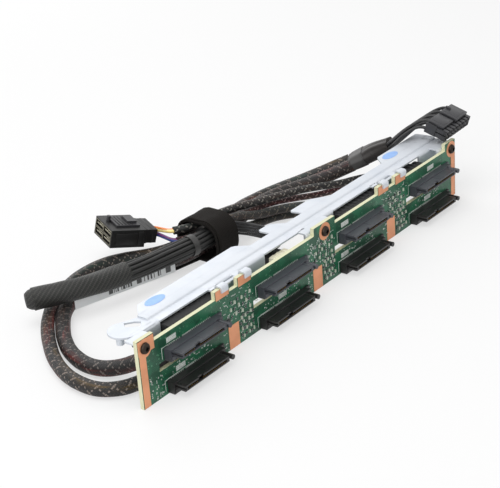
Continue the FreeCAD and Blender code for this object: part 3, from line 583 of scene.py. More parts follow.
@dataclass(frozen=True)
class PrintedInk:
    """White board print or solder, slightly uneven."""

    name: str
    colour: Colour
    ruled: bool = False
    metallic: float = 0.0
    roughness: float = 0.5

    def build(self) -> Material:
        """Make the material.

        Returns:
            The material.
        """
        shader = Shader(self.name)
        x, _, z = shader.millimetres()
        cloud = shader.noise(1200.0, 3.0)
        base = shader.mix(cloud, scaled(self.colour, 0.82), scaled(self.colour, 1.05))
        if self.ruled:
            row = z.fraction() < 0.34
            dash = shader.grid_noise(shader.join((x * 2.2).floor(), z.floor(), 2.0)) > 0.35
            base = shader.mix(row * dash * 0.45, base, rgb(120, 140, 132))
        normal = shader.bump(cloud, 0.00002, 0.5)
        return shader.close(Base_Color=base, Roughness=self.roughness + 0.1 * cloud,
                            Metallic=self.metallic, Normal=normal)


class Palette:
    """Every finish of the object, made once, and the CAD nodes that take one as they are."""

    def __init__(self, nodes: dict[str, Object]) -> None:
        """Build the materials.

        Args:
            nodes: The CAD nodes, by name.
        """
        self.nodes = nodes
        red, brown, black = rgb(136, 40, 34), rgb(96, 60, 40), rgb(20, 19, 19)
        green, olive, grey = rgb(26, 62, 50), rgb(112, 88, 44), rgb(72, 70, 68)
        self.laminate = Laminate().build()
        self.copper = Metal("bare_copper", rgb(236, 164, 122), rgb(182, 120, 88), 0.42, 0.35, 0.0001).build()
        self.zinc = Metal("zinc_plate", rgb(216, 220, 226), rgb(196, 203, 213), 0.5, 0.35, 0.0004).build()
        self.steel = Metal("dark_screw_steel", rgb(58, 50, 44), rgb(30, 26, 24), 0.34, 0.85, 0.0002).build()
        self.gold = Metal("gold_plate", rgb(222, 178, 96), rgb(180, 140, 76), 0.28, 1.0, 0.00005).build()
        self.tin = Metal("tin_plate", rgb(206, 208, 206), rgb(160, 162, 160), 0.3, 0.9, 0.00005).build()
        # The receptacle nylon is one black plastic in two copies: the upper row's lighter grey is painted
        # light, the lower row's darker grey is painted shade.
        self.nylon = Moulded("receptacle_nylon", rgb(62, 64, 70), 0.4).build()
        self.shaded_receptacle_nylon = Moulded("receptacle_nylon_painted_shade", rgb(36, 35, 35), 0.4).build()
        self.dark_nylon = Moulded("connector_nylon", rgb(15, 15, 15), 0.5).build()
        self.header_nylon = Moulded("header_nylon", rgb(11, 11, 12), 0.65).build()
        self.plug_nylon = Moulded("plug_nylon", rgb(52, 52, 55), 0.4).build()
        self.frame_nylon = Moulded("frame_nylon", rgb(104, 100, 82), 0.5).build()
        self.cream = Moulded("cream_nylon", rgb(232, 226, 202), 0.45).build()
        self.ceramic = Moulded("chip_ceramic", rgb(190, 198, 180), 0.4, 0.00008).build()
        self.resistor = Moulded("chip_resistor", rgb(34, 36, 40), 0.4, 0.00008).build()
        self.circuit = Moulded("chip_package", rgb(30, 31, 34), 0.45, 0.0001).build()
        self.print = PrintedInk("board_print", rgb(226, 232, 226)).build()
        self.ruled = PrintedInk("board_print_ruled", rgb(226, 232, 226), ruled=True).build()
        self.solder = PrintedInk("solder_joints", rgb(206, 212, 206), metallic=0.5, roughness=0.3).build()
        self.touch = TouchInk().build()
        self.strap = LoopFabric().build()
        self.label = BarLabel().build()
        self.shrink = ShrinkTube().build()
        self.tape = Insulation("tape_grey", rgb(58, 57, 56), 0.4).build()
        self.wire = Insulation("wire_black", rgb(34, 34, 35), 0.36).build()
        self.hank_wire = Insulation("wire_hank", rgb(31, 31, 30), 0.42).build()
        self.pair = [Insulation("wire_" + name, colour, 0.4).build() for name, colour in (
            ("yellow", rgb(240, 216, 132)), ("cream", rgb(246, 228, 178)), ("orange", rgb(236, 130, 48)),
            ("blue", rgb(52, 66, 128)), ("magenta", rgb(150, 40, 100)), ("violet", rgb(110, 80, 150)))]
        self.braids = {
            "outer": Braid("braid_outer", (black, red, brown, black, green, black, olive, black),
                           tracer_and_glint=rgb(128, 116, 108), gaps=0.58, seen=0.8, painted_glints=0.4).build(),
            "inner": Braid("braid_inner", (black, brown, black, red, grey, black, red),
                           tracer_and_glint=rgb(106, 98, 92), gaps=0.5, seen=0.6, painted_glints=0.25).build(),
            "dotted": Braid("braid_dotted", (black, green, grey, brown), tracer_and_glint=rgb(132, 128, 120),
                            tracer_every=5.0, around=8, pitch=1.7, gaps=0.4, seen=0.4).build(),
            "maroon": Braid("braid_maroon", (rgb(110, 24, 34), black, rgb(134, 34, 40), brown),
                            strand=rgb(46, 24, 26), tracer_and_glint=rgb(170, 140, 136), tracer_every=5.0,
                            around=8, pitch=1.6, gaps=0.5, seen=0.7).build(),
            "bus": Braid("braid_bus", (black, brown, green, black), tracer_and_glint=rgb(92, 84, 72), around=10,
                         gaps=0.5, seen=0.5).build(),
            "mesh": Braid("braid_mesh", (black, rgb(28, 28, 26)), strand=rgb(25, 25, 23),
                          tracer_and_glint=rgb(54, 54, 50), tracer_every=2.0, around=26, pitch=1.5,
                          gaps=0.6, seen=0.3, painted_glints=0.15, shine=0.5).build()}

    def dress(self, name: str, material: Material) -> Object:
        """Give a CAD node its material.

        Args:
            name: The node's name.
            material: Its finish.

        Returns:
            The node.
        """
        node = self.nodes[name]
        node.data.materials.clear()
        node.data.materials.append(material)
        return node


class Draft:
    """A mesh in the making, in millimetres until it is finished."""

    def __init__(self) -> None:
        """Start empty."""
        self.mesh = bmesh.new()
        self.run = self.mesh.loops.layers.uv.new("run")

    def box(self, low: Point, size: Point, matrix: Matrix | None = None, chamfer: float = 0.0,
            material: int = 0) -> None:
        """A box from its lowest corner, with flat bevels if asked.

        Args:
            low: Its lowest corner.
            size: Its size along the three axes.
            matrix: Where its axes lie, if not along the row frame's.
            chamfer: The width of its bevels.
            material: The number of its material.
        """
        made = bmesh.ops.create_cube(self.mesh, size=1.0)
        corners = made["verts"]
        place = Matrix.Translation(Vector(low) + Vector(size) / 2) @ Matrix.Diagonal((*size, 1.0))
        bmesh.ops.transform(self.mesh, matrix=place, verts=corners)
        faces = {face for corner in corners for face in corner.link_faces}
        if chamfer > 0:
            edges = list({edge for corner in corners for edge in corner.link_edges})
            cut = bmesh.ops.bevel(self.mesh, geom=edges, offset=chamfer, segments=2, affect="EDGES",
                                  profile=0.5, clamp_overlap=True)
            faces |= set(cut["faces"])
            corners = list({corner for face in faces if face.is_valid for corner in face.verts})
        for face in faces:
            if face.is_valid:
                face.material_index = material
        if matrix is not None:
            bmesh.ops.transform(self.mesh, matrix=matrix, verts=corners)

    def prism(self, outline: Sequence[Flat], low: float, high: float,
              place: Callable[[float, float, float], Point], holes: Sequence[Sequence[Flat]] = ()) -> None:
        """A flat outline with holes, drawn from low to high; place turns its numbers into a point.

        Args:
            outline: The outer ring, open at its end.
            low: Where it starts.
            high: Where it stops.
            place: Turns its two numbers and the run into a point.
            holes: The rings of its openings.
        """
        rings = [list(outline)] + [list(hole) for hole in holes]
        bottoms, tops = [[[self.mesh.verts.new(place(a, b, run)) for a, b in ring] for ring in rings]
                         for run in (low, high)]
        for ring_low, ring_high in zip(bottoms, tops):
            for k in range(len(ring_low)):
                self.mesh.faces.new((ring_low[k - 1], ring_low[k], ring_high[k], ring_high[k - 1]))
        flat = [[Vector((a, b, 0.0)) for a, b in ring] for ring in rings]
        triangles = tessellate_polygon(flat)
        for corners in (bottoms, tops):
            every = [corner for ring in corners for corner in ring]
            for triangle in triangles:
                self.mesh.faces.new([every[k] for k in triangle])

    def rod(self, base: Point, axis: Point, radius: float, length: float, sides: int = 24,
            tip: float | None = None, material: int = 0) -> None:
        """A round bar or cone from its base along an axis.

        Args:
            base: The middle of its base.
            axis: Its direction.
            radius: Its radius.
            length: Its length.
            sides: Corners of each end.
            tip: The far end's radius.
            material: The number of its material.
        """
        made = bmesh.ops.create_cone(self.mesh, cap_ends=True, segments=sides, radius1=radius,
                                     radius2=radius if tip is None else tip, depth=length)
        turn = Vector(axis).to_track_quat("Z", "Y").to_matrix().to_4x4()
        place = Matrix.Translation(Vector(base)) @ turn @ Matrix.Translation((0, 0, length / 2))
        bmesh.ops.transform(self.mesh, matrix=place, verts=made["verts"])
        for corner in made["verts"]:
            for face in corner.link_faces:
                face.material_index = material

    def tube(self, centres: Sequence[Vector], section: Section, sides: int, level: bool = False,
             material: int = 0) -> None:
        """A tube along centres, with closed ends.

        Args:
            centres: The ring centres.
            section: The offset sideways and up for a share of the length and an angle.
            sides: Corners of each ring.
            level: Whether each ring's side axis stays level, so that a flat tube doesn't turn.
            material: The number of its material.
        """
        rings, runs = [], []
        length = 0.0
        total = sum((b - a).length for a, b in zip(centres, centres[1:]))
        side = None
        for k, centre in enumerate(centres):
            ahead = centres[min(k + 1, len(centres) - 1)] - centres[max(k - 1, 0)]
            ahead.normalize()
            if k:
                length += (centre - centres[k - 1]).length
            if side is None or level:
                side = ahead.cross(Vector((0, 0, 1)))
            side = side - ahead * side.dot(ahead)
            side.normalize()
            up = side.cross(ahead)
            ring = []
            for j in range(sides):
                across, high = section(length / total, 2 * math.pi * j / sides)
                ring.append(self.mesh.verts.new(centre + side * across + up * high))
            rings.append(ring)
            runs.append(length)
        for k in range(len(rings) - 1):
            for j in range(sides):
                after = (j + 1) % sides
                corners = (rings[k][j], rings[k + 1][j], rings[k + 1][after], rings[k][after])
                face = self.mesh.faces.new(corners)
                face.material_index = material
                places = ((k, j), (k + 1, j), (k + 1, j + 1), (k, j + 1))
                for loop, (ring_number, turn) in zip(face.loops, places):
                    loop[self.run].uv = (runs[ring_number], turn / sides)
        for ring in (rings[0], rings[-1]):
            self.mesh.faces.new(ring).material_index = material

    def finish(self, name: str, materials: Sequence[Material], slot: str,
               smooth: float = 32.0) -> Object:
        """Turn the draft into a piece that rides on the frame.

        Args:
            name: The piece's name.
            materials: Its materials, by number.
            slot: Not used.
            smooth: Edges sharper than this many degrees stay sharp.

        Returns:
            The piece.
        """
        bmesh.ops.recalc_face_normals(self.mesh, faces=self.mesh.faces)
        bmesh.ops.scale(self.mesh, vec=(MM, MM, MM), verts=self.mesh.verts)
        data = bpy.data.meshes.new(name)
        self.mesh.to_mesh(data)
        self.mesh.free()
        for material in materials:
            data.materials.append(material)
        data.shade_smooth()
        data.set_sharp_from_angle(angle=math.radians(smooth))
        piece = bpy.data.objects.new(name, data)
        bpy.context.scene.collection.objects.link(piece)
        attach(piece, "root")
        log.info("piece %s: %d faces", name, len(data.polygons))
        return piece


def circle(radius: float) -> Section:
    """A round section."""
    return lambda _, angle: (radius * math.cos(angle), radius * math.sin(angle))


def spline_line(route: Sequence[Point], step: float = 1.2) -> list[Vector]:
    """The smooth line of a route, read from its NURBS spline.

    Args:
        route: The route's points, in millimetres.
        step: The spacing of the returned points, in millimetres.

    Returns:
        Points along the spline, evenly spaced, in millimetres.
    """
    curve = bpy.data.curves.new("route", "CURVE")
    curve.dimensions = "3D"
    spline = curve.splines.new("NURBS")
    spline.points.add(len(route) - 1)
    for point, place in zip(spline.points, route):
        point.co = (*place, 1.0)
    spline.order_u = 3
    spline.use_endpoint_u = True
    curve.resolution_u = 24
    holder = bpy.data.objects.new("route", curve)
    data = bpy.data.meshes.new_from_object(holder)
    fine = [corner.co.copy() for corner in data.vertices]
    bpy.data.objects.remove(holder)
    bpy.data.meshes.remove(data)
    bpy.data.curves.remove(curve)
    lengths = [0.0]
    for before, after in zip(fine, fine[1:]):
        lengths.append(lengths[-1] + (after - before).length)
    count = max(8, round(lengths[-1] / step))
    line, k = [], 0
    for n in range(count + 1):
        goal = lengths[-1] * n / count
        while k < len(fine) - 2 and lengths[k + 1] < goal:
            k += 1
        span = lengths[k + 1] - lengths[k]
        share = (goal - lengths[k]) / span if span > 0 else 0.0
        line.append(fine[k].lerp(fine[k + 1], min(1.0, share)))
    return line


def length_of(line: Sequence[Vector]) -> float:
    """The length of a line, in millimetres."""
    return sum((b - a).length for a, b in zip(line, line[1:]))


class Stiffness(Enum):
    """How a cord bends."""

    LIMP = "limp"
    MEDIUM = "medium"
    STIFF = "stiff"


class End(Enum):
    """What a cord's far end is."""

    PLUG = "plug"
    OBJECT = "object"


@dataclass
class Cord:
    """One free cord: a sleeve or wire along a given route."""

    name: str
    node: str
    route: Sequence[Point]
    radius: float
    material: Material
    slot: str
    end: End
    exit_last: bool = False
    stiffness: Stiffness = Stiffness.MEDIUM
    sides: int = 24
    lumps: float = 0.05
    lobes: int = 5

    def section(self, line_length: float) -> Section:
        """A round section with the soft lumps of the wires inside.

        Args:
            line_length: The length of its line.

        Returns:
            The section.
        """

        def corner(share: float, angle: float) -> Flat:
            """One corner of the ring.

            Args:
                share: How far along the tube.
                angle: The angle round it.

            Returns:
                The offset sideways and up.
            """
            run = share * line_length
            wave = math.sin(self.lobes * angle + 0.045 * run) * 0.6
            wave += noise(Vector((math.cos(angle) * 0.8, math.sin(angle) * 0.8, run * 0.09))) * 0.9
            grown = self.radius * (1 + self.lumps * wave)
            return grown * math.cos(angle), grown * math.sin(angle)

        return corner

    def build(self, pieces: Sequence[Object] = ()) -> Object:
        """Args:
            pieces: Not used.

        Returns:
            The cord.
        """
        line = spline_line(self.route)
        draft = Draft()
        draft.tube(line, self.section(length_of(line)), self.sides)
        piece = draft.finish(self.name, [self.material], self.slot, ROUND)
        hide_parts(self.node)
        declare(piece, line, 2 * self.radius)
        return piece


def declare(piece: Object, line: Sequence[Vector], width: float) -> None:
    """Args:
        piece: The piece.
        line: Its centre line.
        width: Its diameter.
    """
    path = [tuple(point * MM) for point in line]
    max(0.03, length_of(line) * MM)
    width * MM
    log.info("cord %s: %.1f mm long", piece.name, length_of(line))


INNER_ROUTE = [(-127.1, 6.75, 13), (-128.1, 14.4, 9.8), (-131.1, 22.2, 5.9), (-136.6, 30.8, 4.5),
               (-138.4, 41.6, 4.3), (-134.0, 56.4, 4.3), (-124.4, 71.6, 4.3), (-113.4, 83.6, 4.3),
               (-102.1, 93.4, 4.3), (-91.1, 99.4, 4.3), (-78.1, 100.8, 4.3), (-64.1, 97.8, 4.3),
               (-49.1, 91.2, 4.6), (-32.6, 82.8, 5.6), (-19.1, 77.8, 6.3), (-6.1, 76.2, 6.5),
               (12.9, 76.2, 6.4), (27.9, 77.2, 7), (44.9, 80.2, 9.3), (61.9, 81.2, 10),
               (77.9, 78.8, 10), (92.9, 73.2, 10.2), (104.9, 65.2, 12.2), (113.9, 56.8, 16),
               (119.9, 49.2, 20)]
OUTER_ROUTE = [(-119.0, 4.2, 4), (-128.1, 5.2, 4), (-137.1, 7.2, 4), (-146.1, 11.2, 4),
               (-152.6, 19.8, 4), (-153.1, 33.2, 4), (-149.4, 47.2, 4), (-141.4, 62.6, 4),
               (-129.6, 77.8, 4), (-118.6, 90.2, 4), (-106.1, 100.8, 4), (-92.1, 109.2, 4),
               (-77.1, 115.2, 4), (-62.1, 118.2, 4), (-47.1, 117.2, 4), (-35.1, 111.8, 4),
               (-26.6, 102.8, 4.4), (-21.6, 93.8, 6.5), (-15.6, 87, 9), (-6.1, 84, 10.2),
               (12.9, 83.8, 10.4), (26.9, 85.2, 11.4), (43.9, 88.8, 8.5), (60.9, 93.8, 5.6),
               (77.9, 91.2, 6.2), (92.9, 83.8, 8.4), (106.9, 74.2, 11.5), (117.9, 65.2, 15.6),
               (126.3, 55.8, 20)]
SIGNAL_ONE_ROUTE = [(-16.1, 85, 21), (-10.6, 81.5, 20.8), (-3.1, 79.8, 20.5), (11.9, 79.5, 20.2),
                    (22.9, 78, 19.6), (33.9, 76.8, 18.4), (44.9, 74, 17), (57.9, 70.2, 16.2),
                    (69.9, 67.2, 15), (81.9, 63.8, 14), (94.9, 57.8, 12.7), (106.9, 50.5, 11.4),
                    (119.4, 46.8, 10.6), (124.9, 36.8, 13), (121.9, 26.2, 19), (115.9, 18.8, 24.5),
                    (113.9, 13.75, 26)]
SIGNAL_TWO_ROUTE = [(-15.6, 83.5, 14.8), (-10.1, 80, 14.5), (-2.1, 78.2, 14.1), (11.9, 78, 13.9),
                    (21.9, 76.5, 13.9), (32.9, 74.8, 13.6), (42.9, 74.2, 12.3), (53.9, 73.8, 11.6),
                    (69.9, 71.2, 9.5), (83.9, 66, 7.5), (94.9, 60.8, 6), (105.9, 56.8, 5.3),
                    (115.9, 52.2, 4.8), (119.9, 42.8, 4.8), (116.9, 32.8, 8), (110.4, 24.2, 14.5),
                    (105.9, 18.2, 21), (104.9, 13.75, 24)]
BUS_ONE_ROUTE = [(12.9, 69.5, 18.8), (21.9, 69.3, 18.2), (32.4, 69.2, 15), (43.4, 68.3, 11),
                 (55.9, 67, 9), (64.9, 60.8, 9.2), (71.4, 51.8, 9.8), (72.9, 41.2, 11.4),
                 (68.9, 31.8, 15.4), (63.9, 24.2, 20.3), (59.9, 17.9, 24), (58.4, 11.75, 25.5)]
BUS_TWO_ROUTE = [(12.9, 69.5, 13), (22.9, 68.2, 11.5), (33.9, 68, 7.2), (45.4, 70, 4.3),
                 (56.9, 69, 3.6), (67.4, 63.2, 3.3), (74.9, 54.2, 3.3), (78.9, 43.2, 4.5),
                 (78.9, 33.2, 9), (75.9, 25.2, 14.8), (72.4, 18.8, 20.8), (70.4, 11.75, 25.5)]
FAN_ROUTE = [(12.9, 65.2, 15.6), (20.9, 62.8, 12.8), (25.4, 53.2, 10.8), (23.9, 41.8, 11.5),
             (16.9, 31.8, 14.5), (6.4, 25.2, 18.5), (-5.1, 22.8, 22), (-15.6, 21.6, 24.3),
             (-23.8, 18.9, 25.3), (-26.8, 12.75, 25.6)]
SLEEVE_ROUTE = [(-114.1, 103.8, 15.4), (-105.1, 98.2, 15.4), (-91.1, 90.2, 15.4), (-76.1, 84.2, 15.2),
                (-62.8, 80.6, 15.0)]
HANK_ROUTE = [(-62.8, 80.6, 15.0), (-52.2, 77.73, 14.84), (-39.1, 75.4, 14.9), (-25.1, 72.0, 15.2),
              (-10.1, 69.2, 15.5), (12.9, 68.8, 15.6)]


@dataclass
class PlugAxes:
    """The place of a free plug, whose own axes run along it, across it and up."""

    centre: Point
    yaw: float
    pitch: float
    roll: float

    def matrix(self) -> Matrix:
        """From the plug's axes to the row frame, in millimetres.

        Returns:
            The matrix.
        """
        turn = Matrix.Rotation(math.radians(self.yaw), 4, "Z")
        turn = turn @ Matrix.Rotation(math.radians(self.pitch), 4, "Y")
        turn = turn @ Matrix.Rotation(math.radians(self.roll), 4, "X")
        return Matrix.Translation(self.centre) @ turn


DUAL_AXES = PlugAxes((-29.4, 115.75, 19.1), -23.5, 14.1, 2.7)
POWER_AXES = PlugAxes((156.6, 0.75, 44.1), -86.8, 18.5, -0.6)


@dataclass
class PhotoCamera:
    """The photograph's viewpoint."""

    place: Point = (-0.56492, -0.42695, 0.36346)
    right: Point = (0.60976, -0.78939, -0.07109)
    down: Point = (-0.37902, -0.21163, -0.90086)
    ahead: Point = (0.69609, 0.57626, -0.42824)
    lens: float = 100.69

    def build(self) -> None:
        """Make the camera and give it to the scene."""
        data = bpy.data.cameras.new("camera")
        data.lens = self.lens
        data.sensor_width = 36.0
        data.clip_start = 0.01
        data.clip_end = 50.0
        camera = bpy.data.objects.new("camera", data)
        turn = Matrix((self.right, [-n for n in self.down], [-n for n in self.ahead])).transposed()
        camera.matrix_world = Matrix.Translation(self.place) @ turn.to_4x4()
        bpy.context.scene.collection.objects.link(camera)
        bpy.context.scene.camera = camera


@dataclass
class Studio:
    """Plain pale floor, white background and soft lights."""

    floor_half: float = 3.0
    shade: float = 0.42
    ambient: float = 0.56

    def white_seen(self, shader: Shader) -> Value:
        """One for the rays that see plain white: of the camera, of gloss and of clear material.

        Args:
            shader: The floor's or the world's shader.

        Returns:
            One for those rays, else nought.
        """
        rays = shader.node("ShaderNodeLightPath").outputs
        camera, gloss, clear = (Value(shader, rays["Is %s Ray" % kind])
                                for kind in ("Camera", "Glossy", "Transmission"))
        return camera.most(gloss).most(clear)

    def build(self) -> None:
        """Make the floor, the world and the lights."""
        floor = Shader("studio_floor")
        cloth = floor.node("ShaderNodeBsdfDiffuse", None, {0: (0.86, 0.86, 0.86, 1)})
        white = floor.node("ShaderNodeEmission", None, {0: (1, 1, 1, 1), 1: 1.0})
        share = self.white_seen(floor) * (1 - self.shade)
        mixed = floor.node("ShaderNodeMixShader", None, {0: share, 1: cloth.outputs[0], 2: white.outputs[0]})
        floor.node("ShaderNodeOutputMaterial", None, {0: mixed.outputs[0]})
        half = self.floor_half
        data = bpy.data.meshes.new("studio_floor")
        data.from_pydata([(-half, -half, -0.0001), (half, -half, -0.0001), (half, half, -0.0001),
                          (-half, half, -0.0001)], [], [(0, 1, 2, 3)])
        data.materials.append(floor.material)
        plane = bpy.data.objects.new("studio_floor", data)
        bpy.context.scene.collection.objects.link(plane)
        sky = Shader("studio", world=True)
        strength = sky.level(self.white_seen(sky), 0.0, 1.0, self.ambient, 1.0)
        light = sky.node("ShaderNodeBackground", None, {0: (1, 1, 1, 1), 1: strength})
        sky.node("ShaderNodeOutputWorld", None, {0: light.outputs[0]})
        bpy.context.scene.world = sky.material
        self.lamp("lamp_over", (-0.25, 0.15, 1.1), (0.0, 0.03, 0.0), 1.0, 6.4)
        self.lamp("lamp_left", (-1.1, -0.4, 0.7), (0.0, 0.0, 0.0), 0.7, 4.2)
        self.lamp("lamp_rear", (0.5, 1.0, 0.6), (0.0, 0.0, 0.0), 0.7, 3.0)

    def lamp(self, name: str, place: Point, goal: Point, size: float, power: float) -> None:
        """A soft square lamp that looks at a goal.

        Args:
            name: Its name.
            place: Where it hangs, in metres.
            goal: Where it looks.
            size: Its side, in metres.
            power: Its power, in watts.
        """
        data = bpy.data.lights.new(name, "AREA")
        data.size = size
        data.energy = power
        lamp = bpy.data.objects.new(name, data)
        lamp.location = place
        lamp.rotation_euler = (Vector(goal) - Vector(place)).to_track_quat("-Z", "Y").to_euler()
        bpy.context.scene.collection.objects.link(lamp)


@dataclass
class Board:
    """The circuit board with its print, small parts and drive receptacles."""

    palette: Palette
    front: float = BOARD_FRONT
    column_one: float = -132.0
    pitch: float = 76.0
    row_low: float = 4.1
    row_pitch: float = 18.6
    shell_left: float = 1.1
    shell_long: float = 35.0
    shell_deep: float = 10.9
    shell_tall: float = 3.1
    shell_drop: float = 0.3
    foot_deep: float = 4.5
    pad_left: float = 49.0
    pad_top: float = 15.0
    print_clear: float = 60.0
    joint_clear: float = 59.4
    strokes: tuple[tuple[float, float, float, float], ...] = (
        (14.8, 3.3, 6.4, 0.5), (-1.6, -2.2, 0.3, 6.0), (-1.6, 3.7, 10.0, 0.3), (42.6, -2.6, 0.3, 5.2))
    blocks: tuple[Flat, ...] = ((-129.4, 27.6), (-124.6, 9.1), (-38.4, 10.0), (21.6, 9.2), (22.9, 27.9),
                                (112.4, 9.6), (116.6, 27.9))

    def column(self, i: int) -> float:
        """The left end of column i."""
        return self.column_one + i * self.pitch

    def row(self, j: int) -> float:
        """The middle height of row j."""
        return self.row_low + j * self.row_pitch

    def places(self) -> list[tuple[int, float, float]]:
        """The row, the left end and the middle height of each receptacle."""
        return [(j, self.column(i), self.row(j)) for i in range(4) for j in range(2)]

    def dress_nodes(self) -> None:
        """Give the carried-over parts of the board their finishes."""
        palette = self.palette
        palette.dress("backplane_board", palette.laminate)
        palette.dress("copper_pads", palette.copper)
        palette.dress("receptacle_contacts", palette.gold)
        for k in range(8):
            # Upper row in the lighter copy of the nylon (painted light), lower row in the darker copy
            # (painted shade).
            palette.dress("drive_receptacle_%d" % (k + 1), palette.nylon if k > 3 else palette.shaded_receptacle_nylon)

    def printed_marks(self) -> None:
        """White printed rectangles, strips and outlines on the front face."""
        draft = Draft()
        skin = 0.03
        face = self.front - skin
        for x, z in self.blocks:
            draft.box((x, face, z), (7.3, skin, 2.9), material=1)
        for _, left, mid in self.places():
            for aside, up, wide, tall in self.strokes:
                draft.box((left + aside, face, mid + up), (wide, skin, tall))
        for i in range(4):
            left = self.column(i)
            draft.box((left + 1.0, face, 8.1), (22.0, skin, 0.25))
            for k in range(34):
                x = left + 4.0 + 32.0 * self.chance(k, i, 1)
                z = 8.9 + 5.0 * self.chance(k, i, 2)
                draft.box((x, face, z), (0.4 + 0.35 * (k % 3), skin, 0.35 + 0.25 * (k % 2)))
        for k in range(30):
            i = k % 3
            aside = 47.5 + 26.0 * self.chance(k, i, 3)
            z = 2.5 + 28.5 * self.chance(k, i, 4)
            if not self.over_pad(aside, z, self.print_clear):
                draft.box((self.column(i) + aside, face, z), (0.5 + 0.3 * (k % 3), skin, 0.35))
        draft.finish("board_print", [self.palette.print, self.palette.ruled], "label_white")

    def over_pad(self, aside: float, z: float, right: float) -> bool:
        """Whether a place in the gap lies on its low copper pad, up to a right limit."""
        return self.pad_left < aside < right and z < self.pad_top

    @staticmethod
    def chance(k: int, i: int, kind: int) -> float:
        """A number from nought to one that jumps about with its three numbers."""
        return (math.sin(k * 12.9898 + i * 78.233 + kind * 37.719) * 4375.8453) % 1.0

    def chips(self) -> None:
        """Chip capacitors and resistors with metal ends, and the black packages with legs."""
        capacitors, resistors, circuits = Draft(), Draft(), Draft()
        for i in range(3):
            start = self.column(i) + 45.5
            for a in range(6):
                for b in range(7):
                    shift = 0.45 * math.sin(5.1 * a + 2.3 * b + i)
                    x = start + (14.5 + 1.95 * a if b < 4 else 7.0 + 3.1 * a) + shift
                    z = 3.0 + 3.75 * b + 0.5 * math.cos(3.7 * a + b)
                    if (a + b) % 2:
                        self.chip(capacitors, x, z, 1.0, 0.8, 1.8)
                    else:
                        self.chip(resistors, x, z, 1.1, 0.45, 1.6)
            x = start + 0.7
            circuits.box((x, self.front - 1.0, 14.6), (5.0, 0.9, 4.0), chamfer=0.12)
            circuits.rod((x + 0.8, self.front - 1.0, 17.9), (0, -1, 0), 0.3, 0.03, 12, material=2)
            for k in range(5):
                for z in (14.1, 18.55):
                    leg = (x + 0.45 + 0.95 * k, self.front - 0.35, z)
                    circuits.box(leg, (0.35, 0.33, 0.55), material=1)
        palette = self.palette
        piece = capacitors.finish("capacitors_dressed", [palette.ceramic, palette.tin], "ceramic_chip")
        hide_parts("chip_capacitors")
        piece = resistors.finish("resistors_dressed", [palette.resistor, palette.tin], "chip_black")
        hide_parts("chip_resistors")
        finishes = [palette.circuit, palette.tin, palette.print]
        piece = circuits.finish("circuits_dressed", finishes, "chip_black")
        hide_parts("controller_circuits")

    def chip(self, draft: Draft, x: float, z: float, wide: float, deep: float, tall: float) -> None:
        """One upright chip with a metal end above and below.

        Args:
            draft: The mesh that it joins.
            x: Its left side.
            z: Its foot.
            wide: Its width.
            deep: How far it stands off the board.
            tall: Its height with both ends.
        """
        end = 0.5
        draft.box((x + 0.05, self.front - deep + 0.03, z + end), (wide - 0.1, deep - 0.03, tall - 2 * end))
        for foot in (z, z + tall - end):
            draft.box((x, self.front - deep, foot), (wide, deep, end), chamfer=0.07, material=1)

    def solder(self) -> None:
        """Solder joints: tail rows along the receptacles, test points and small pads."""
        draft = Draft()
        for _, left, mid in self.places():
            for k in range(26):
                x = left + 3.0 + CONTACT_PITCH * k + (1.0 if k > 7 else 0.0)
                draft.box((x, self.front - 0.35, mid + 3.32), (0.5, 0.33, 0.75), chamfer=0.08)
                draft.box((x + 0.3, self.front - 0.35, mid - 4.0), (0.5, 0.33, 0.7), chamfer=0.08)
        for k in range(480):
            i = k % 4
            if i < 3:
                aside = 44.6 + 25.0 * self.chance(k, i, 5)
                z = 1.0 + 31.0 * self.chance(k, i, 6)
                if not self.over_pad(aside, z, self.joint_clear):
                    self.joint(draft, k, self.column(i) + aside, z)
            elif k % 5 == 0:
                x = -144.2 + 10.0 * self.chance(k, i, 5)
                self.joint(draft, k, x, 0.9 + 13.0 * self.chance(k, i, 6))
        draft.finish("solder_joints", [self.palette.solder], "gold_contact")

    def joint(self, draft: Draft, k: int, x: float, z: float) -> None:
        """One test point or one pair of small pads on the front face.

        Args:
            draft: The mesh that it joins.
            k: Its number, which gives its kind.
            x: Its place along the board.
            z: Its height.
        """
        if k % 3:
            draft.rod((x, self.front - 0.08, z), (0, 1, 0), 0.3 + 0.12 * (k % 2), 0.1, 10)
            return
        size, aside, up = ((0.45, 0.28, 0.7), 0.0, 1.0) if k % 2 else ((0.7, 0.28, 0.45), 1.0, 0.0)
        draft.box((x, self.front - 0.28, z), size, chamfer=0.08)
        draft.box((x + aside, self.front - 0.28, z + up), size, chamfer=0.08)

    def back_joints(self) -> None:
        """Solder joints and small parts on the rear face."""
        draft = Draft()
        for i in range(4):
            for k in range(22):
                tail = (self.column(i) + 6.0 + CONTACT_PITCH * k, BOARD_BACK - 0.02, self.row_low)
                draft.rod(tail, (0, 1, 0), 0.42, 0.35, 10, tip=0.15)
        for k in range(90):
            x = -146.0 + 290.0 * self.chance(k, 0, 7)
            z = 1.5 + 18.0 * self.chance(k, 0, 8)
            for aside in (0.0, 1.2):
                draft.box((x + aside, BOARD_BACK, z), (0.8, 0.3, 0.5), chamfer=0.08)
        draft.finish("rear_joints", [self.palette.solder], "gold_contact")

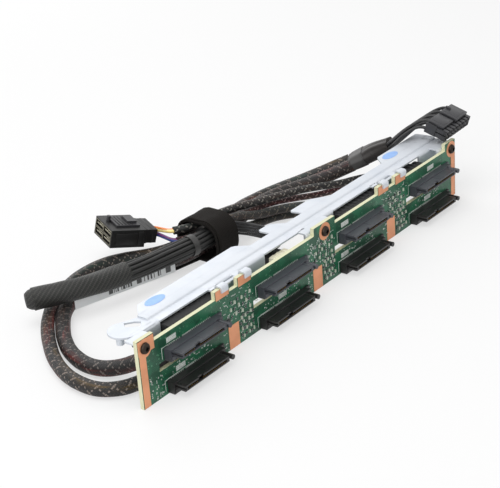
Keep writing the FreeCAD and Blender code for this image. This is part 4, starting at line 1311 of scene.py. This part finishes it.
    def receptacle_details(self) -> None:
        """Dividers between the contacts, a rim along the front, and ribs on the top of every receptacle."""
        upper, lower = Draft(), Draft()
        for j, column, mid in self.places():
            draft = upper if j else lower
            left, under = column + self.shell_left, mid - self.shell_drop
            front, top = self.front - self.shell_deep, mid - self.shell_drop + self.shell_tall
            for k in range(24):
                if 6 < k < 9:
                    continue
                x = left + 2.82 + CONTACT_PITCH * k + (0.95 if k > 8 else 0.0)
                draft.box((x, front + 0.4, under + 0.65), (0.3, 6.2, 0.3))
            lip = (left + 0.4, front - 0.12, under + 0.06)
            draft.box(lip, (self.shell_long - 0.8, 0.3, 0.5), chamfer=0.1)
            for start, long in ((0.3, 10.0), (14.5, 20.2)):
                draft.box((left + start, front - 0.1, top - 0.62), (long, 0.4, 0.58), chamfer=0.12)
            foot = self.front - self.foot_deep
            draft.box((left + 0.3, foot - 0.35, top - 0.1), (34.4, 0.5, 0.5), chamfer=0.12)
            for start in (1.0, 17.6, 33.0):
                draft.box((left + start, front + 1.4, top - 0.08), (1.0, 4.6, 0.2), chamfer=0.06)
            draft.box((left - 0.6, foot - 0.5, mid - 2.6), (3.0, 0.7, 2.0), chamfer=0.15)
        # Upper row in the lighter copy of the nylon (painted light), lower row in the darker copy (painted
        # shade).
        upper.finish("receptacle_ribs_upper", [self.palette.nylon], "black_nylon")
        lower.finish("receptacle_ribs_lower", [self.palette.shaded_receptacle_nylon], "black_nylon")

    def build(self) -> None:
        """Make everything on the board."""
        self.dress_nodes()
        self.printed_marks()
        self.chips()
        self.solder()
        self.back_joints()
        self.receptacle_details()


def arc(centre: Flat, radius: float, start: float, end: float, count: int = 6) -> list[Flat]:
    """Points of an arc between two angles in degrees."""
    angles = [math.radians(start + (end - start) * k / count) for k in range(count + 1)]
    return [(centre[0] + radius * math.cos(angle), centre[1] + radius * math.sin(angle)) for angle in angles]


def ribbon(middle: Sequence[Flat], thick: float) -> list[Flat]:
    """The closed outline of a strip of even thickness along its middle line.

    Args:
        middle: The middle line.
        thick: The strip's thickness.

    Returns:
        The outline.
    """
    left, right = [], []
    for k, (a, b) in enumerate(middle):
        before = Vector(middle[max(k - 1, 0)])
        after = Vector(middle[min(k + 1, len(middle) - 1)])
        ahead = (after - before).normalized()
        across = Vector((-ahead.y, ahead.x)) * (thick / 2)
        left.append((a + across.x, b + across.y))
        right.append((a - across.x, b - across.y))
    return left + right[::-1]


def upright(a: float, b: float, run: float) -> Point:
    """A section drawn across the board, with its run along X."""
    return run, a, b


def level(a: float, b: float, run: float) -> Point:
    """A flat outline seen from above, with its run upwards."""
    return a, b, run


@dataclass
class Bracket:
    """The zinc-plated sheet bracket over the rear of the board."""

    palette: Palette
    top: float = 35.6
    thick: float = 1.0
    front: float = -0.25
    step: float = 6.25
    rise: float = 0.9
    rear: float = 12.05
    wall_low: float = 24.0
    tab_rear: float = 19.75
    hook_top: float = 39.3
    hook_clear: float = 0.2
    hook_wide: float = 5.5

    def wall_section(self) -> list[Flat]:
        """Middle line from the foot of the wall over the bend and the step to the rear edge.

        Returns:
            The line, from front to rear.
        """
        half = self.thick / 2
        line = [(self.front + half, self.wall_low)]
        line += arc((self.front + half + 1.2, self.top - half - 1.2), 1.2, 180, 90)
        return line + self.step_line()

    def step_line(self) -> list[Flat]:
        """Middle line of the step up to the rear strip.

        Returns:
            The line, from front to rear.
        """
        half = self.thick / 2
        low, high = self.top - half, self.top - half + self.rise
        return [(self.step - 1.4, low), (self.step - 0.9, low + 0.08), (self.step - 0.2, high - 0.08),
                (self.step + 0.3, high), (self.rear, high)]

    def flange_section(self) -> list[Flat]:
        """Middle line of the flange where a window leaves no wall."""
        return [(self.front, self.top - self.thick / 2)] + self.step_line()

    def build(self) -> None:
        """Make the bracket in place of its solid."""
        draft = Draft()
        wall, flange = self.wall_section(), self.flange_section()
        spans = [(-127.0, -124.0, wall), (-124.0, -79.0, flange), (-79.0, -38.0, wall), (-38.0, -1.0, flange),
                 (-1.0, 27.0, wall), (27.0, 74.0, flange), (74.0, 97.0, wall), (97.0, 120.0, flange),
                 (120.0, 143.0, wall), (143.0, 146.0, flange)]
        for left, right, middle in spans:
            draft.prism(ribbon(middle, self.thick), left, right, upright)
        for left, right in ((-79.0, -38.0), (-1.0, 27.0), (74.0, 97.0), (120.0, 143.0)):
            draft.box((left + 2.5, self.front - 0.02, self.wall_low + 1.4), (right - left - 5.0, 0.3, 0.5),
                      chamfer=0.1)
        self.tongue(draft)
        self.rear_tabs(draft)
        self.hooks(draft)
        self.lugs(draft)
        draft.box((146.0, 0.0, self.top - self.thick), (4.0, 6.2, self.thick))
        draft.box((143.0, 6.2, self.top - self.thick + self.rise), (7.0, 5.9, self.thick))
        piece = draft.finish("bracket_sheet", [self.palette.zinc], "zinc_sheet", 28.0)
        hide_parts("mounting_bracket")

    def tongue(self, draft: Draft) -> None:
        """The rounded left end with its opening, and the level front strip beside the wall.

        Args:
            draft: The mesh that it joins.
        """
        outline = arc((-140.6, 9.0), 8.3, 78, 250, 18)
        outline += [(-140.0, self.front + 0.6), (-127.0, self.front + 0.6), (-127.0, self.rear - 0.2),
                    (-132.0, 13.6)]
        hole = [(-138.2, 10.2), (-133.4, 4.2), (-129.6, 7.4), (-131.4, 10.6), (-135.4, 13.6)]
        draft.prism(outline, self.top - self.thick, self.top, level, [hole])
        line = ribbon([(self.front + 0.5, self.wall_low)]
                      + arc((self.front + 1.7, self.top - 1.7), 1.2, 180, 90)
                      + [(self.front + 3.2, self.top - 0.5)], self.thick)
        draft.prism(line, -143.0, -127.0, upright)

    def rear_tabs(self, draft: Draft) -> None:
        """The four tapered tabs along the rear edge, with soft corners.

        Args:
            draft: The mesh that it joins.
        """
        low, high = self.top - self.thick + self.rise, self.top + self.rise
        edge = self.rear - 0.1
        rear = self.tab_rear
        tabs = [[(-126.6, edge), (-119.6, 18.9), (-118.2, rear), (-41.5, rear), (-39.6, 18.6), (-34.9, edge)],
                [(-17.1, edge), (-17.4, 18.6), (-16.6, rear), (-8.5, rear), (-7.2, 18.9), (-1.4, edge)],
                [(13.9, edge), (12.6, 18.8), (13.4, rear), (30.8, rear), (32.4, 18.9), (41.4, edge)],
                [(96.9, edge), (102.6, 18.6), (104.4, rear), (148.2, rear), (149.0, 18.8), (150.0, edge)]]
        for outline in tabs:
            draft.prism(outline, low, high, level)

    def hooks(self, draft: Draft) -> None:
        """Four fingers that cross the board's tabs, with their cross bars behind the board.

        Args:
            draft: The mesh that it joins.
        """
        half = self.thick / 2
        inner = BOARD_BACK + self.hook_clear + half
        outer = BOARD_FRONT - self.hook_clear - half
        high = self.hook_top - half
        low = self.top - half
        middle = [(self.front + 1.0, low), (inner + 0.9, low)]
        middle += arc((inner + 0.9, low + 0.9), 0.9, 270, 180, 4)
        middle += arc((inner - 0.9, high - 0.9), 0.9, 0, 90, 4)
        middle += arc((outer + 0.9, high - 0.9), 0.9, 90, 180, 4)
        middle += [(outer, 35.7)]
        outline = ribbon(middle, self.thick)
        lefts = (-86.1, -66.6, 65.9, 85.4)
        for left in lefts:
            draft.prism(outline, left, left + self.hook_wide, upright)
        for left, right in (lefts[:2], lefts[2:]):
            draft.box((left, self.front - 4.0, low - half), (right - left, 2.2, self.thick), chamfer=0.15)

    def lugs(self, draft: Draft) -> None:
        """Three lugs that turn down behind the board, each with the screw's collar.

        Args:
            draft: The mesh that it joins.
        """
        half = self.thick / 2
        back = BOARD_BACK + half
        middle = [(back, 27.0)] + arc((back + 1.1, self.top - half - 1.1), 1.1, 180, 90, 5)
        middle += [(self.front + 1.0, self.top - half)]
        outline = ribbon(middle, self.thick)
        for (left, wide), screw in zip(((-149.0, 13.0), (-7.0, 25.0), (133.0, 17.0)), SCREWS):
            draft.prism(outline, left, left + wide, upright)
            draft.rod((screw, -4.9, SCREW_LEVEL), (0, 1, 0), 2.5, 0.7, 24)


@dataclass
class Fixings:
    """The locating pin and the three dark screws."""

    palette: Palette
    head: tuple[Flat, ...] = ((0.0, 3.0), (0.5, 3.0), (1.2, 2.8), (1.7, 2.3), (2.0, 1.6))
    socket: tuple[Flat, ...] = ((2.0, 1.25), (0.9, 1.1))
    ridge: float = 1.5
    root: float = 1.25
    sides: int = 36

    def build(self) -> None:
        """Make the screws and dress the pin."""
        self.palette.dress("locating_pin", self.palette.zinc)
        draft = Draft()
        for x in SCREWS:
            self.turned(draft, x)
            for k in range(5):
                y = -5.2 + 0.75 * k
                draft.rod((x, y, SCREW_LEVEL), (0, 1, 0), self.ridge, 0.38, 20, tip=self.root)
                draft.rod((x, y + 0.38, SCREW_LEVEL), (0, 1, 0), self.root, 0.38, 20, tip=self.ridge)
        piece = draft.finish("screws_dressed", [self.palette.steel, self.palette.circuit], "dark_steel")
        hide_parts("board_screws")

    def turned(self, draft: Draft, x: float) -> None:
        """A screw head turned from its profile, with its six-lobed socket.

        Args:
            draft: The mesh that it joins.
            x: The screw's place along the board.
        """
        rings = []
        for out, radius in self.head + self.socket:
            ring = []
            for k in range(self.sides):
                angle = 2 * math.pi * k / self.sides
                lobed = radius if radius > 1.4 else radius * (1 + 0.14 * math.cos(6 * angle))
                ring.append(draft.mesh.verts.new((x + lobed * math.cos(angle), BOARD_FRONT - out,
                                                  SCREW_LEVEL + lobed * math.sin(angle))))
            rings.append(ring)
        for before, after in zip(rings, rings[1:]):
            for k in range(self.sides):
                draft.mesh.faces.new((before[k - 1], before[k], after[k], after[k - 1]))
        draft.mesh.faces.new(rings[-1]).material_index = 1
        draft.mesh.faces.new(rings[0])


@dataclass
class RearConnector:
    """One boxy connector or plug behind the board: shell, ribs, latch and wire mouth."""

    name: str
    low: Point
    size: Point
    material: Material
    slot: str
    ribs: int
    latch: bool

    def build(self) -> None:
        """Make the connector in place of its solid."""
        draft = Draft()
        x, y, z = self.low
        wide, deep, tall = self.size
        draft.box(self.low, self.size, chamfer=0.35)
        pitch = (wide - 1.6) / self.ribs
        for k in range(self.ribs):
            left = x + 0.8 + pitch * k + pitch * 0.2
            draft.box((left, y + deep * 0.25, z + tall - 0.05), (pitch * 0.6, deep * 0.7, 0.35), chamfer=0.12)
            for share in (0.55, 0.12):
                rib = (left, y + deep - 0.05, z + tall * share)
                draft.box(rib, (pitch * 0.6, 0.35, tall * 0.3), chamfer=0.12)
        if self.latch:
            middle = x + wide / 2
            draft.box((middle - 2.0, y + 0.4, z + tall + 0.2), (4.0, deep - 0.8, 0.8), chamfer=0.25)
            draft.box((middle - 1.6, y + 0.4, z + tall + 0.8), (3.2, 1.2, 0.8), chamfer=0.25)
        piece = draft.finish(self.name + "_dressed", [self.material], self.slot)
        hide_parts(self.name)


@dataclass
class RearConnectors:
    """Headers on the rear face and the plugs in them."""

    palette: Palette
    names: tuple[str, ...] = (
        "power_header_left", "power_header_low", "spare_signal_header", "fan_header", "bus_header",
        "sideband_header", "power_plug_left", "power_plug_low", "fan_plug", "bus_plug", "sideband_plug")
    rib_pitch: float = 4.2

    def build(self) -> None:
        """Make them all."""
        for name in self.names:
            low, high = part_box(name)
            material = self.palette.cream if name == "fan_header" else self.palette.header_nylon
            slot = "cream_nylon" if name == "fan_header" else "black_nylon"
            size = (high - low) / MM
            RearConnector(name, tuple(low / MM), tuple(size), material, slot,
                          max(3, round(size.x / self.rib_pitch)), name.endswith("_plug")).build()


@dataclass
class Strap:
    """Hook and loop tie round the cables, with a lapped end and a loose tail."""

    palette: Palette
    left: float = -7.0
    right: float = 12.6
    middle: Flat = (75.25, 12.75)
    half_wide: float = 14.2
    half_tall: float = 10.95
    corner: float = 9.2
    thick: float = 1.8
    tail_long: float = 22.0
    tail_wide: float = 12.0

    def outline(self, turn: float, grow: float) -> Flat:
        """A point of the rounded loop, grown outwards, by its share of a turn.

        Args:
            turn: The share of a turn, from the top left.
            grow: How far outwards.

        Returns:
            The point across and up from the loop's middle.
        """
        a, b, radius = self.half_wide - self.corner, self.half_tall - self.corner, self.corner + grow
        quarter = radius * math.pi / 2
        # Each part: its length, and either a straight's two ends or a corner's centre and two angles.
        parts = [(2 * a, (-a, b + radius, a, b + radius)), (quarter, (a, b, 90, 0)),
                 (2 * b, (a + radius, b, a + radius, -b)), (quarter, (a, -b, 0, -90)),
                 (2 * a, (a, -b - radius, -a, -b - radius)), (quarter, (-a, -b, -90, -180)),
                 (2 * b, (-a - radius, -b, -a - radius, b)), (quarter, (-a, b, 180, 90))]
        run = (turn % 1.0) * sum(part for part, _ in parts)
        for number, (part, ends) in enumerate(parts):
            if run <= part:
                break
            run -= part
        share = run / part
        if number % 2:
            angle = math.radians(ends[2] + (ends[3] - ends[2]) * share)
            return ends[0] + radius * math.cos(angle), ends[1] + radius * math.sin(angle)
        return ends[0] + (ends[2] - ends[0]) * share, ends[1] + (ends[3] - ends[1]) * share

    def band(self, draft: Draft, start: float, end: float, lift: float, thick: float, inset: float,
             wave: float, seed: float) -> None:
        """A band of strap over a part of the turn.

        Args:
            draft: The strap's mesh in the making.
            start: Where it starts, in turns.
            end: Where it ends.
            lift: Its distance from the loop.
            thick: Its thickness.
            inset: How much narrower it is on each side.
            wave: The depth of its waves.
            seed: Makes its waves its own.
        """
        count = max(8, round(110 * (end - start)))
        closed = end - start > 0.999
        rings = []
        left, right, steps = self.left + inset, self.right - inset, 14
        places = [left + (right - left) * n / steps for n in range(steps + 1)]
        ring = [(x, thick) for x in places] + [(right + 0.25, thick / 2)]
        ring += [(x, 0.0) for x in places[::-1]] + [(left - 0.25, thick / 2)]
        for k in range(count + (0 if closed else 1)):
            turn = start + (end - start) * k / count
            fade = 1.0 if closed else max(0.0, min(1.0, (turn - start) * 40.0, (end - turn) * 40.0))
            corners = []
            for x, out in ring:
                soft = noise(Vector((x * 0.16 + seed, turn * 14.0, seed))) * wave
                edge = noise(Vector((turn * 16.0, seed * 3.0, x))) * 0.25
                y, z = self.outline(turn, lift + (out + (soft if out > 0 else 0.0)) * (0.35 + 0.65 * fade))
                floor = max(z + self.middle[1], 0.02)
                corners.append(draft.mesh.verts.new((x + edge, self.middle[0] + y, floor)))
            rings.append(corners)
        total = len(rings)
        for k in range(total if closed else total - 1):
            after = rings[(k + 1) % total]
            for n in range(len(rings[k])):
                turn_on = (n + 1) % len(rings[k])
                draft.mesh.faces.new((rings[k][n], after[n], after[turn_on], rings[k][turn_on]))
        if not closed:
            draft.mesh.faces.new(rings[0])
            draft.mesh.faces.new(rings[-1])

    def build(self) -> None:
        """Make the strap in place of its solid."""
        draft = Draft()
        self.band(draft, 0.0, 1.0, 0.05, self.thick, 0.3, 0.45, 1.3)
        self.band(draft, 0.62, 1.12, self.thick + 0.1, 0.9, 1.2, 0.3, 4.7)
        self.tail(draft)
        piece = draft.finish("strap_tie", [self.palette.strap], "strap", 60.0)
        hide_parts("hook_and_loop_tie")

    def tail(self, draft: Draft) -> None:
        """The loose end of the strap, flat on the surface under the cables.

        Args:
            draft: The strap's mesh in the making.
        """
        turn = Matrix.Translation((-26.0, 78.6, 0.0)) @ Matrix.Rotation(math.radians(-11.0), 4, "Z")
        rows, columns = 12, 22
        grid = []
        for side in (0, 1):
            sheet = []
            for a in range(columns + 1):
                line = []
                for b in range(rows + 1):
                    x, y = self.tail_long * a / columns, self.tail_wide * b / rows
                    wave = 0.25 * noise(Vector((x * 0.2, y * 0.2, 2.0)))
                    trim = 1.2 * max(0.0, abs(b / rows - 0.5) - 0.36) * (1 if a == 0 else 0)
                    z = (1.15 + wave) if side else 0.03
                    line.append(draft.mesh.verts.new(turn @ Vector((x + trim, y, z))))
                sheet.append(line)
            grid.append(sheet)
        for a in range(columns):
            for b in range(rows):
                for sheet in grid:
                    draft.mesh.faces.new((sheet[a][b], sheet[a + 1][b], sheet[a + 1][b + 1], sheet[a][b + 1]))
        rim = [(a, 0) for a in range(columns)] + [(columns, b) for b in range(rows)]
        rim += [(a, rows) for a in range(columns, 0, -1)] + [(0, b) for b in range(rows, 0, -1)]
        for k, (c, d) in enumerate(rim):
            a, b = rim[k - 1]
            draft.mesh.faces.new((grid[0][a][b], grid[0][c][d], grid[1][c][d], grid[1][a][b]))


@dataclass
class DualPlug:
    """The signal plug with four framed openings, its latch, collar and coloured wires."""

    palette: Palette
    long: float = 22.0
    wide: float = 24.0
    tall: float = 11.0
    wall: float = 1.3
    wire: float = 0.85

    def build(self) -> list[Object]:
        """Dress the plug.

        Returns:
            The plug's pieces.
        """
        turn = DUAL_AXES.matrix()
        palette = self.palette
        carried = [palette.dress("dual_plug_housing", palette.dark_nylon),
                   palette.dress("dual_plug_contacts", palette.cream),
                   palette.dress("dual_plug_latch", palette.plug_nylon),
                   palette.dress("dual_plug_collar", palette.dark_nylon)]
        rims = Draft()
        wide, tall = (self.wide - 3 * self.wall) / 2, (self.tall - 3 * self.wall) / 2
        for a in range(2):
            for b in range(2):
                w = -self.wide / 2 + self.wall + a * (wide + self.wall)
                low = -self.tall / 2 + self.wall + b * (tall + self.wall)
                front = -self.long / 2 - 0.12
                for aside, up, across, high in ((-0.5, -0.5, wide + 1.0, 0.5), (-0.5, tall, wide + 1.0, 0.5),
                                                (-0.5, -0.5, 0.5, tall + 1.0), (wide, -0.5, 0.5, tall + 1.0)):
                    rims.box((front, w + aside, low + up), (0.25, across, high), turn)
                rims.box((front + 0.3, w + 1.0, low + tall / 2 - 0.35), (0.6, wide - 2.0, 0.7), turn, 0.1,
                         material=1)
        rim = rims.finish("dual_rims", [palette.frame_nylon, palette.cream], "black_nylon")
        ribs = Draft()
        for k in range(5):
            grip = (6.5 + 2.1 * k - self.long / 2, -6.0, self.tall / 2 + 1.15)
            ribs.box(grip, (0.9, 13.0, 0.35), turn, 0.1)
        for side in (-1, 1):
            edge = side * self.wide / 2
            ribs.box((3.0 - self.long / 2, edge - 0.35, -3.6), (14.0, 0.7, 7.0), turn, 0.25)
            ribs.box((self.long / 2 - 4.5, edge - 0.5, -4.4), (3.2, 1.0, 8.8), turn, 0.3)
        ribs.box((self.long / 2 + 1.0, -9.3, -4.5), (1.6, 18.6, 9.0), turn, 0.3)
        ribs.box((self.long / 2 + 5.0, -9.2, -4.4), (1.6, 18.4, 8.8), turn, 0.3)
        return carried + [rim, ribs.finish("dual_ribs", [palette.dark_nylon], "black_nylon")]

    def wires(self) -> Object:
        """The six coloured wires between the collar and the two signal cables.

        Returns:
            The piece.
        """
        turn = DUAL_AXES.matrix()
        draft = Draft()
        end = self.long / 2 + 9.0
        for k in range(6):
            away = 2.4 * (k % 3 - 1)
            w, high = away - 3.0, -0.6 if k > 2 else 2.2
            spread = away * 0.53
            start = turn @ Vector((end - 1.0, w, high))
            leave = turn @ Vector((end + 2.0, w, high))
            first, second = (Vector(p) for p in (SIGNAL_ONE_ROUTE, SIGNAL_TWO_ROUTE)[k // 3][:2])
            face = (first - second).normalized()
            goal = first - Vector((-face.y, face.x, 0)) * spread
            turned = goal + face * 2.0
            middle = (leave + turned) * 0.5
            line = spline_line([tuple(p) for p in (start, leave, middle, turned, goal - face * 1.5)], 0.7)
            draft.tube(line, circle(self.wire), 12, material=k)
        piece = draft.finish("pair_wires_dressed", self.palette.pair, "wire_colour", ROUND)
        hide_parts("dual_plug_wires")
        return piece


@dataclass
class PowerPlug:
    """The sixteen-way power plug with its two latch plates and separate silos."""

    palette: Palette
    long: float = 15.0
    wide: float = 33.6
    tall: float = 7.0
    pitch: float = 4.2
    silo_long: float = 7.5

    def build(self) -> list[Object]:
        """Make the plug in place of its solids.

        Returns:
            The plug's pieces.
        """
        turn = POWER_AXES.matrix()
        draft = Draft()
        back, top, silo = -self.long / 2, self.tall / 2, self.silo_long
        draft.box((back, -self.wide / 2, -self.tall / 2), (self.long - silo, self.wide, self.tall), turn, 0.3)
        for a in range(8):
            for b in range(2):
                w, low = self.pitch * a - self.wide / 2 + 0.5, top * (b - 1) + 0.1
                self.silo(draft, turn, (self.long / 2 - silo - 0.3, w, low),
                          (silo + 0.3, self.pitch - 1.0, top - 0.4))
        for k in range(9):
            draft.box((back + 1.0, self.pitch * k - self.wide / 2 - 0.25, top - 0.2),
                      (self.long - silo - 2.0, 0.5, 0.5), turn, 0.12)
        body = draft.finish("power_housing_dressed", [self.palette.plug_nylon], "black_nylon")
        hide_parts("power_plug_housing")
        latch = Draft()
        latch.box((back + 0.5, -15.8, top), (11.0, 13.6, 1.6), turn, 0.35)
        latch.box((back + 0.5, -0.6, top), (12.0, 15.4, 2.4), turn, 0.35)
        latch.box((back + 0.9, -13.4, top + 1.4), (9.6, 9.0, 0.5), turn, 0.2)
        latch.box((back + 1.6, 1.6, top + 2.2), (9.6, 10.4, 0.45), turn, 0.2)
        for k in range(4):
            latch.box((back + 0.2, 1.2 + 2.6 * k, top + 0.3), (0.6, 1.6, 1.8), turn, 0.15)
        latch.box((back + 0.5, 6.0, top + 2.3), (3.6, 1.5, 1.7), turn, 0.5)
        plate = latch.finish("power_latch_dressed", [self.palette.plug_nylon], "black_nylon")
        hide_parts("power_plug_latch")
        return [body, plate, self.palette.dress("power_plug_terminals", self.palette.tin)]

    def silo(self, draft: Draft, turn: Matrix, corner: Point, size: Point) -> None:
        """One square silo, open at the mating end.

        Args:
            draft: The plug's mesh in the making.
            turn: The plug's place.
            corner: The silo's lowest corner, on the plug's axes.
            size: Its size along those axes.
        """
        wall = 0.45
        u, w, low = corner
        long, wide, tall = size
        draft.box(corner, (long, wide, wall), turn, 0.1)
        draft.box((u, w, low + tall - wall), (long, wide, wall), turn, 0.1)
        draft.box(corner, (long, wall, tall), turn, 0.1)
        draft.box((u, w + wide - wall, low), (long, wall, tall), turn, 0.1)


@dataclass
class ShrinkSleeve:
    """The heat-shrink sleeve that joins the two power cables, and the eight wires out of it."""

    palette: Palette
    route: tuple[Point, ...] = ((123.1, 52.5, 20.0), (125.9, 47.0, 23.0), (128.4, 41.2, 26.5),
                                (130.0, 34.0, 30.4), (130.9, 26.8, 34.0))
    step: float = 0.9
    sides: int = 36
    band_start: int = 2
    band_steps: int = 10
    wire: float = 1.05
    wire_spread: float = 2.2
    plug_back: float = -7.5
    plug_pitch: float = 4.2
    plug_row: float = 1.75

    def build(self) -> list[Object]:
        """Make the sleeve in place of its solid, with its printed band.

        Returns:
            The sleeve and its band.
        """
        line = spline_line(self.route, self.step)
        draft = Draft()
        draft.tube(line, self.section, self.sides, level=True)
        sleeve = draft.finish("shrink_dressed", [self.palette.shrink], "shrink", ROUND)
        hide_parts("heat_shrink_sleeve")
        band = Draft()
        part = line[self.band_start:self.band_start + self.band_steps + 1]
        total = length_of(line)

        def skin(share: float, angle: float) -> Flat:
            """The sleeve's section, a little larger.

            Args:
                share: How far along the band.
                angle: The angle round it.

            Returns:
                The offset sideways and up.
            """
            run = self.step * (self.band_start + self.band_steps * share) / total
            across, high = self.section(run, angle)
            return across * 1.04 + math.copysign(0.1, across), high * 1.04 + math.copysign(0.1, high)

        band.tube(part, skin, self.sides, level=True)
        wrap = band.finish("shrink_band", [self.palette.tape], "tape", ROUND)
        return [sleeve, wrap]

    def section(self, share: float, angle: float) -> Flat:
        """Flat where two cables enter, rounder at the mouth of the wires.

        Args:
            share: How far along the tube.
            angle: The angle round it.

        Returns:
            The offset sideways and up.
        """
        ease = share * share * (3 - 2 * share)
        side = 8.9 - 3.5 * ease
        high = 4.4 + 0.8 * math.sin(math.pi * share) + 0.6 * ease
        lump = 1 + 0.035 * math.sin(7 * angle + 5 * share)
        power = 0.8
        across = math.copysign(abs(math.cos(angle)) ** power, math.cos(angle))
        rise = math.copysign(abs(math.sin(angle)) ** power, math.sin(angle))
        return across * side * lump, rise * high * lump

    def wires(self) -> None:
        """Eight single wires from the sleeve to the plug, each a cord of its own."""
        turn = POWER_AXES.matrix()
        mouth = Vector(self.route[-1])
        for k in range(8):
            aside, side = k % 4 - 1.5, 2 * (k // 4) - 1
            start = mouth + Vector((self.wire_spread * aside, 0, 0)) + Vector((0, 0.45, 0.9)) * (1.2 * side)
            w = (2 * aside + side / 2) * self.plug_pitch
            goal = turn @ Vector((self.plug_back, w, self.plug_row * side))
            leave = turn @ Vector((self.plug_back - 4.5, w, self.plug_row * side))
            out = start + Vector((0.3 * aside, -0.44, 0.4)) * 6.0
            rise = out * 0.5 + leave * 0.5 + Vector((0, 0.8, 1.2))
            back = start + Vector((0, 0.9, -0.45)) * 2.5
            line = spline_line([tuple(p) for p in (back, start, out, rise, leave, goal)], self.step)
            draft = Draft()
            draft.tube(line, circle(self.wire), 14)
            piece = draft.finish("plug_wire_%d" % (k + 1), [self.palette.wire], "wire_black", ROUND)
            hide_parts("power_plug_wires")
            declare(piece, line, 2 * self.wire)


@dataclass
class Hank:
    """The spare cable in its mesh sleeve and, past the sleeve, as parallel wires."""

    palette: Palette
    radius: float = 6.3
    core: float = 6.0
    wire: float = 1.22

    def build(self) -> None:
        """Make the sleeve and the wires as one cord in place of both solids."""
        draft = Draft()
        covered, bare = spline_line(SLEEVE_ROUTE, 0.9), spline_line(HANK_ROUTE, 1.1)
        self.sleeve(draft, covered)
        self.wires(draft, bare)
        materials = [self.palette.braids["mesh"], self.palette.hank_wire]
        piece = draft.finish("cable_hank_dressed", materials, "braid", ROUND)
        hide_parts("cable_hank", "hank_sleeve")
        declare(piece, covered + bare[1:], 2 * self.core)

    def sleeve(self, draft: Draft, line: Sequence[Vector]) -> None:
        """The mesh sleeve with its closed left end.

        Args:
            draft: The cord's mesh in the making.
            line: The sleeve's middle line.
        """
        total = length_of(line)

        def section(share: float, angle: float) -> Flat:
            """Nearly round, with soft lumps.

            Args:
                share: How far along the tube.
                angle: The angle round it.

            Returns:
                The offset sideways and up.
            """
            run = share * total
            soft = 1 + 0.03 * math.sin(4 * angle + 0.1 * run) + 0.03 * noise(
                Vector((math.cos(angle), math.sin(angle), run * 0.12)))
            return self.radius * soft * 1.02 * math.cos(angle), self.radius * soft * math.sin(angle)

        draft.tube(line, section, 40)
        first, ahead = line[0], (line[1] - line[0]).normalized()
        rings = [first + ahead * away for away in (-4.0, -3.8, -3.1, -1.8, 0.8)]
        sizes = (0.66, 0.76, 0.88, 0.96, 0.99)

        def dome(share: float, angle: float) -> Flat:
            """A shallow dome.

            Args:
                share: How far along the tube.
                angle: The angle round it.

            Returns:
                The offset sideways and up.
            """
            k = min(4, round(share * 4))
            return self.radius * sizes[k] * math.cos(angle), self.radius * sizes[k] * math.sin(angle)

        draft.tube(rings, dome, 40)

    def wires(self, draft: Draft, line: Sequence[Vector]) -> None:
        """Nineteen parallel wires that leave the sleeve and run into the tie.

        Args:
            draft: The cord's mesh in the making.
            line: The bundle's middle line.
        """
        spots = [(0.0, 0.0)]
        spots += [(2.45, 60.0 * k) for k in range(6)]
        spots += [(4.75, 30.0 * k + 15.0) for k in range(12)]
        total = length_of(line)
        for number, (out, degrees) in enumerate(spots):
            path = []
            for k, centre in enumerate(line):
                ahead = (line[min(k + 1, len(line) - 1)] - line[max(k - 1, 0)]).normalized()
                side = ahead.cross(Vector((0, 0, 1))).normalized()
                up = side.cross(ahead)
                run = total * k / (len(line) - 1)
                angle = math.radians(degrees + 0.25 * run)
                sway = out + 0.18 * math.sin(run * 0.16 + number * 2.1)
                path.append(centre + side * (sway * math.cos(angle)) + up * (sway * math.sin(angle)))
            draft.tube(path, circle(self.wire), 10, material=1)


class Loom:
    """Every free cord of the object and what hangs on it."""

    def __init__(self, palette: Palette) -> None:
        """Keep the finishes."""
        self.palette = palette

    def build(self) -> None:
        """Make the plugs first, then the cords."""
        palette = self.palette
        dual = DualPlug(palette)
        dual_pieces = dual.build()
        pair = dual.wires()
        sleeve = ShrinkSleeve(palette)
        power_pieces = sleeve.build() + PowerPlug(palette).build()
        sleeve.wires()
        braids = palette.braids
        Cord("power_cable_inner_dressed", "power_cable_inner", INNER_ROUTE, 4.2, braids["inner"], "braid",
             End.PLUG, sides=28, stiffness=Stiffness.STIFF).build(power_pieces)
        Cord("power_cable_outer_dressed", "power_cable_outer", OUTER_ROUTE, 3.8, braids["outer"], "braid",
             End.OBJECT, sides=28, stiffness=Stiffness.STIFF).build()
        Cord("signal_cable_1_dressed", "signal_cable_1", SIGNAL_ONE_ROUTE, 2.4, braids["dotted"], "braid",
             End.PLUG, exit_last=True, lumps=0.03).build(dual_pieces)
        Cord("signal_cable_2_dressed", "signal_cable_2", SIGNAL_TWO_ROUTE, 2.0, braids["maroon"], "braid",
             End.PLUG, exit_last=True, lumps=0.03).build([pair])
        Cord("bus_cable_1_dressed", "bus_cable_1", BUS_ONE_ROUTE, 2.8, braids["bus"], "braid",
             End.OBJECT, exit_last=True, lumps=0.04).build()
        Cord("bus_cable_2_dressed", "bus_cable_2", BUS_TWO_ROUTE, 2.8, braids["bus"], "braid",
             End.OBJECT, exit_last=True, lumps=0.04).build()
        for k in range(5):
            route = [(x, y, z + 1.8 * (k - 2)) for x, y, z in FAN_ROUTE]
            Cord("fan_wire_%d" % (k + 1), "fan_wires", route, 0.8, palette.wire, "wire_black", End.OBJECT,
                 exit_last=True, lumps=0.0, sides=12, stiffness=Stiffness.LIMP).build()
        Hank(palette).build()
        palette.dress("tape_bands", palette.tape)
        palette.dress("flag_label", palette.label)
        palette.dress("touch_marks", palette.touch)
        Strap(palette).build()


def main() -> None:
    """Build the scene and report each piece."""
    logging.basicConfig(level=logging.INFO, format="%(name)s %(message)s")
    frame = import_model()
    bpy.context.scene.view_settings.view_transform = "Standard"
    PhotoCamera().build()
    Studio().build()
    palette = Palette(frame["nodes"])
    for part in (Loom, Board, Bracket, Fixings, RearConnectors):
        part(palette).build()


if __name__ == "__main__":
    main()
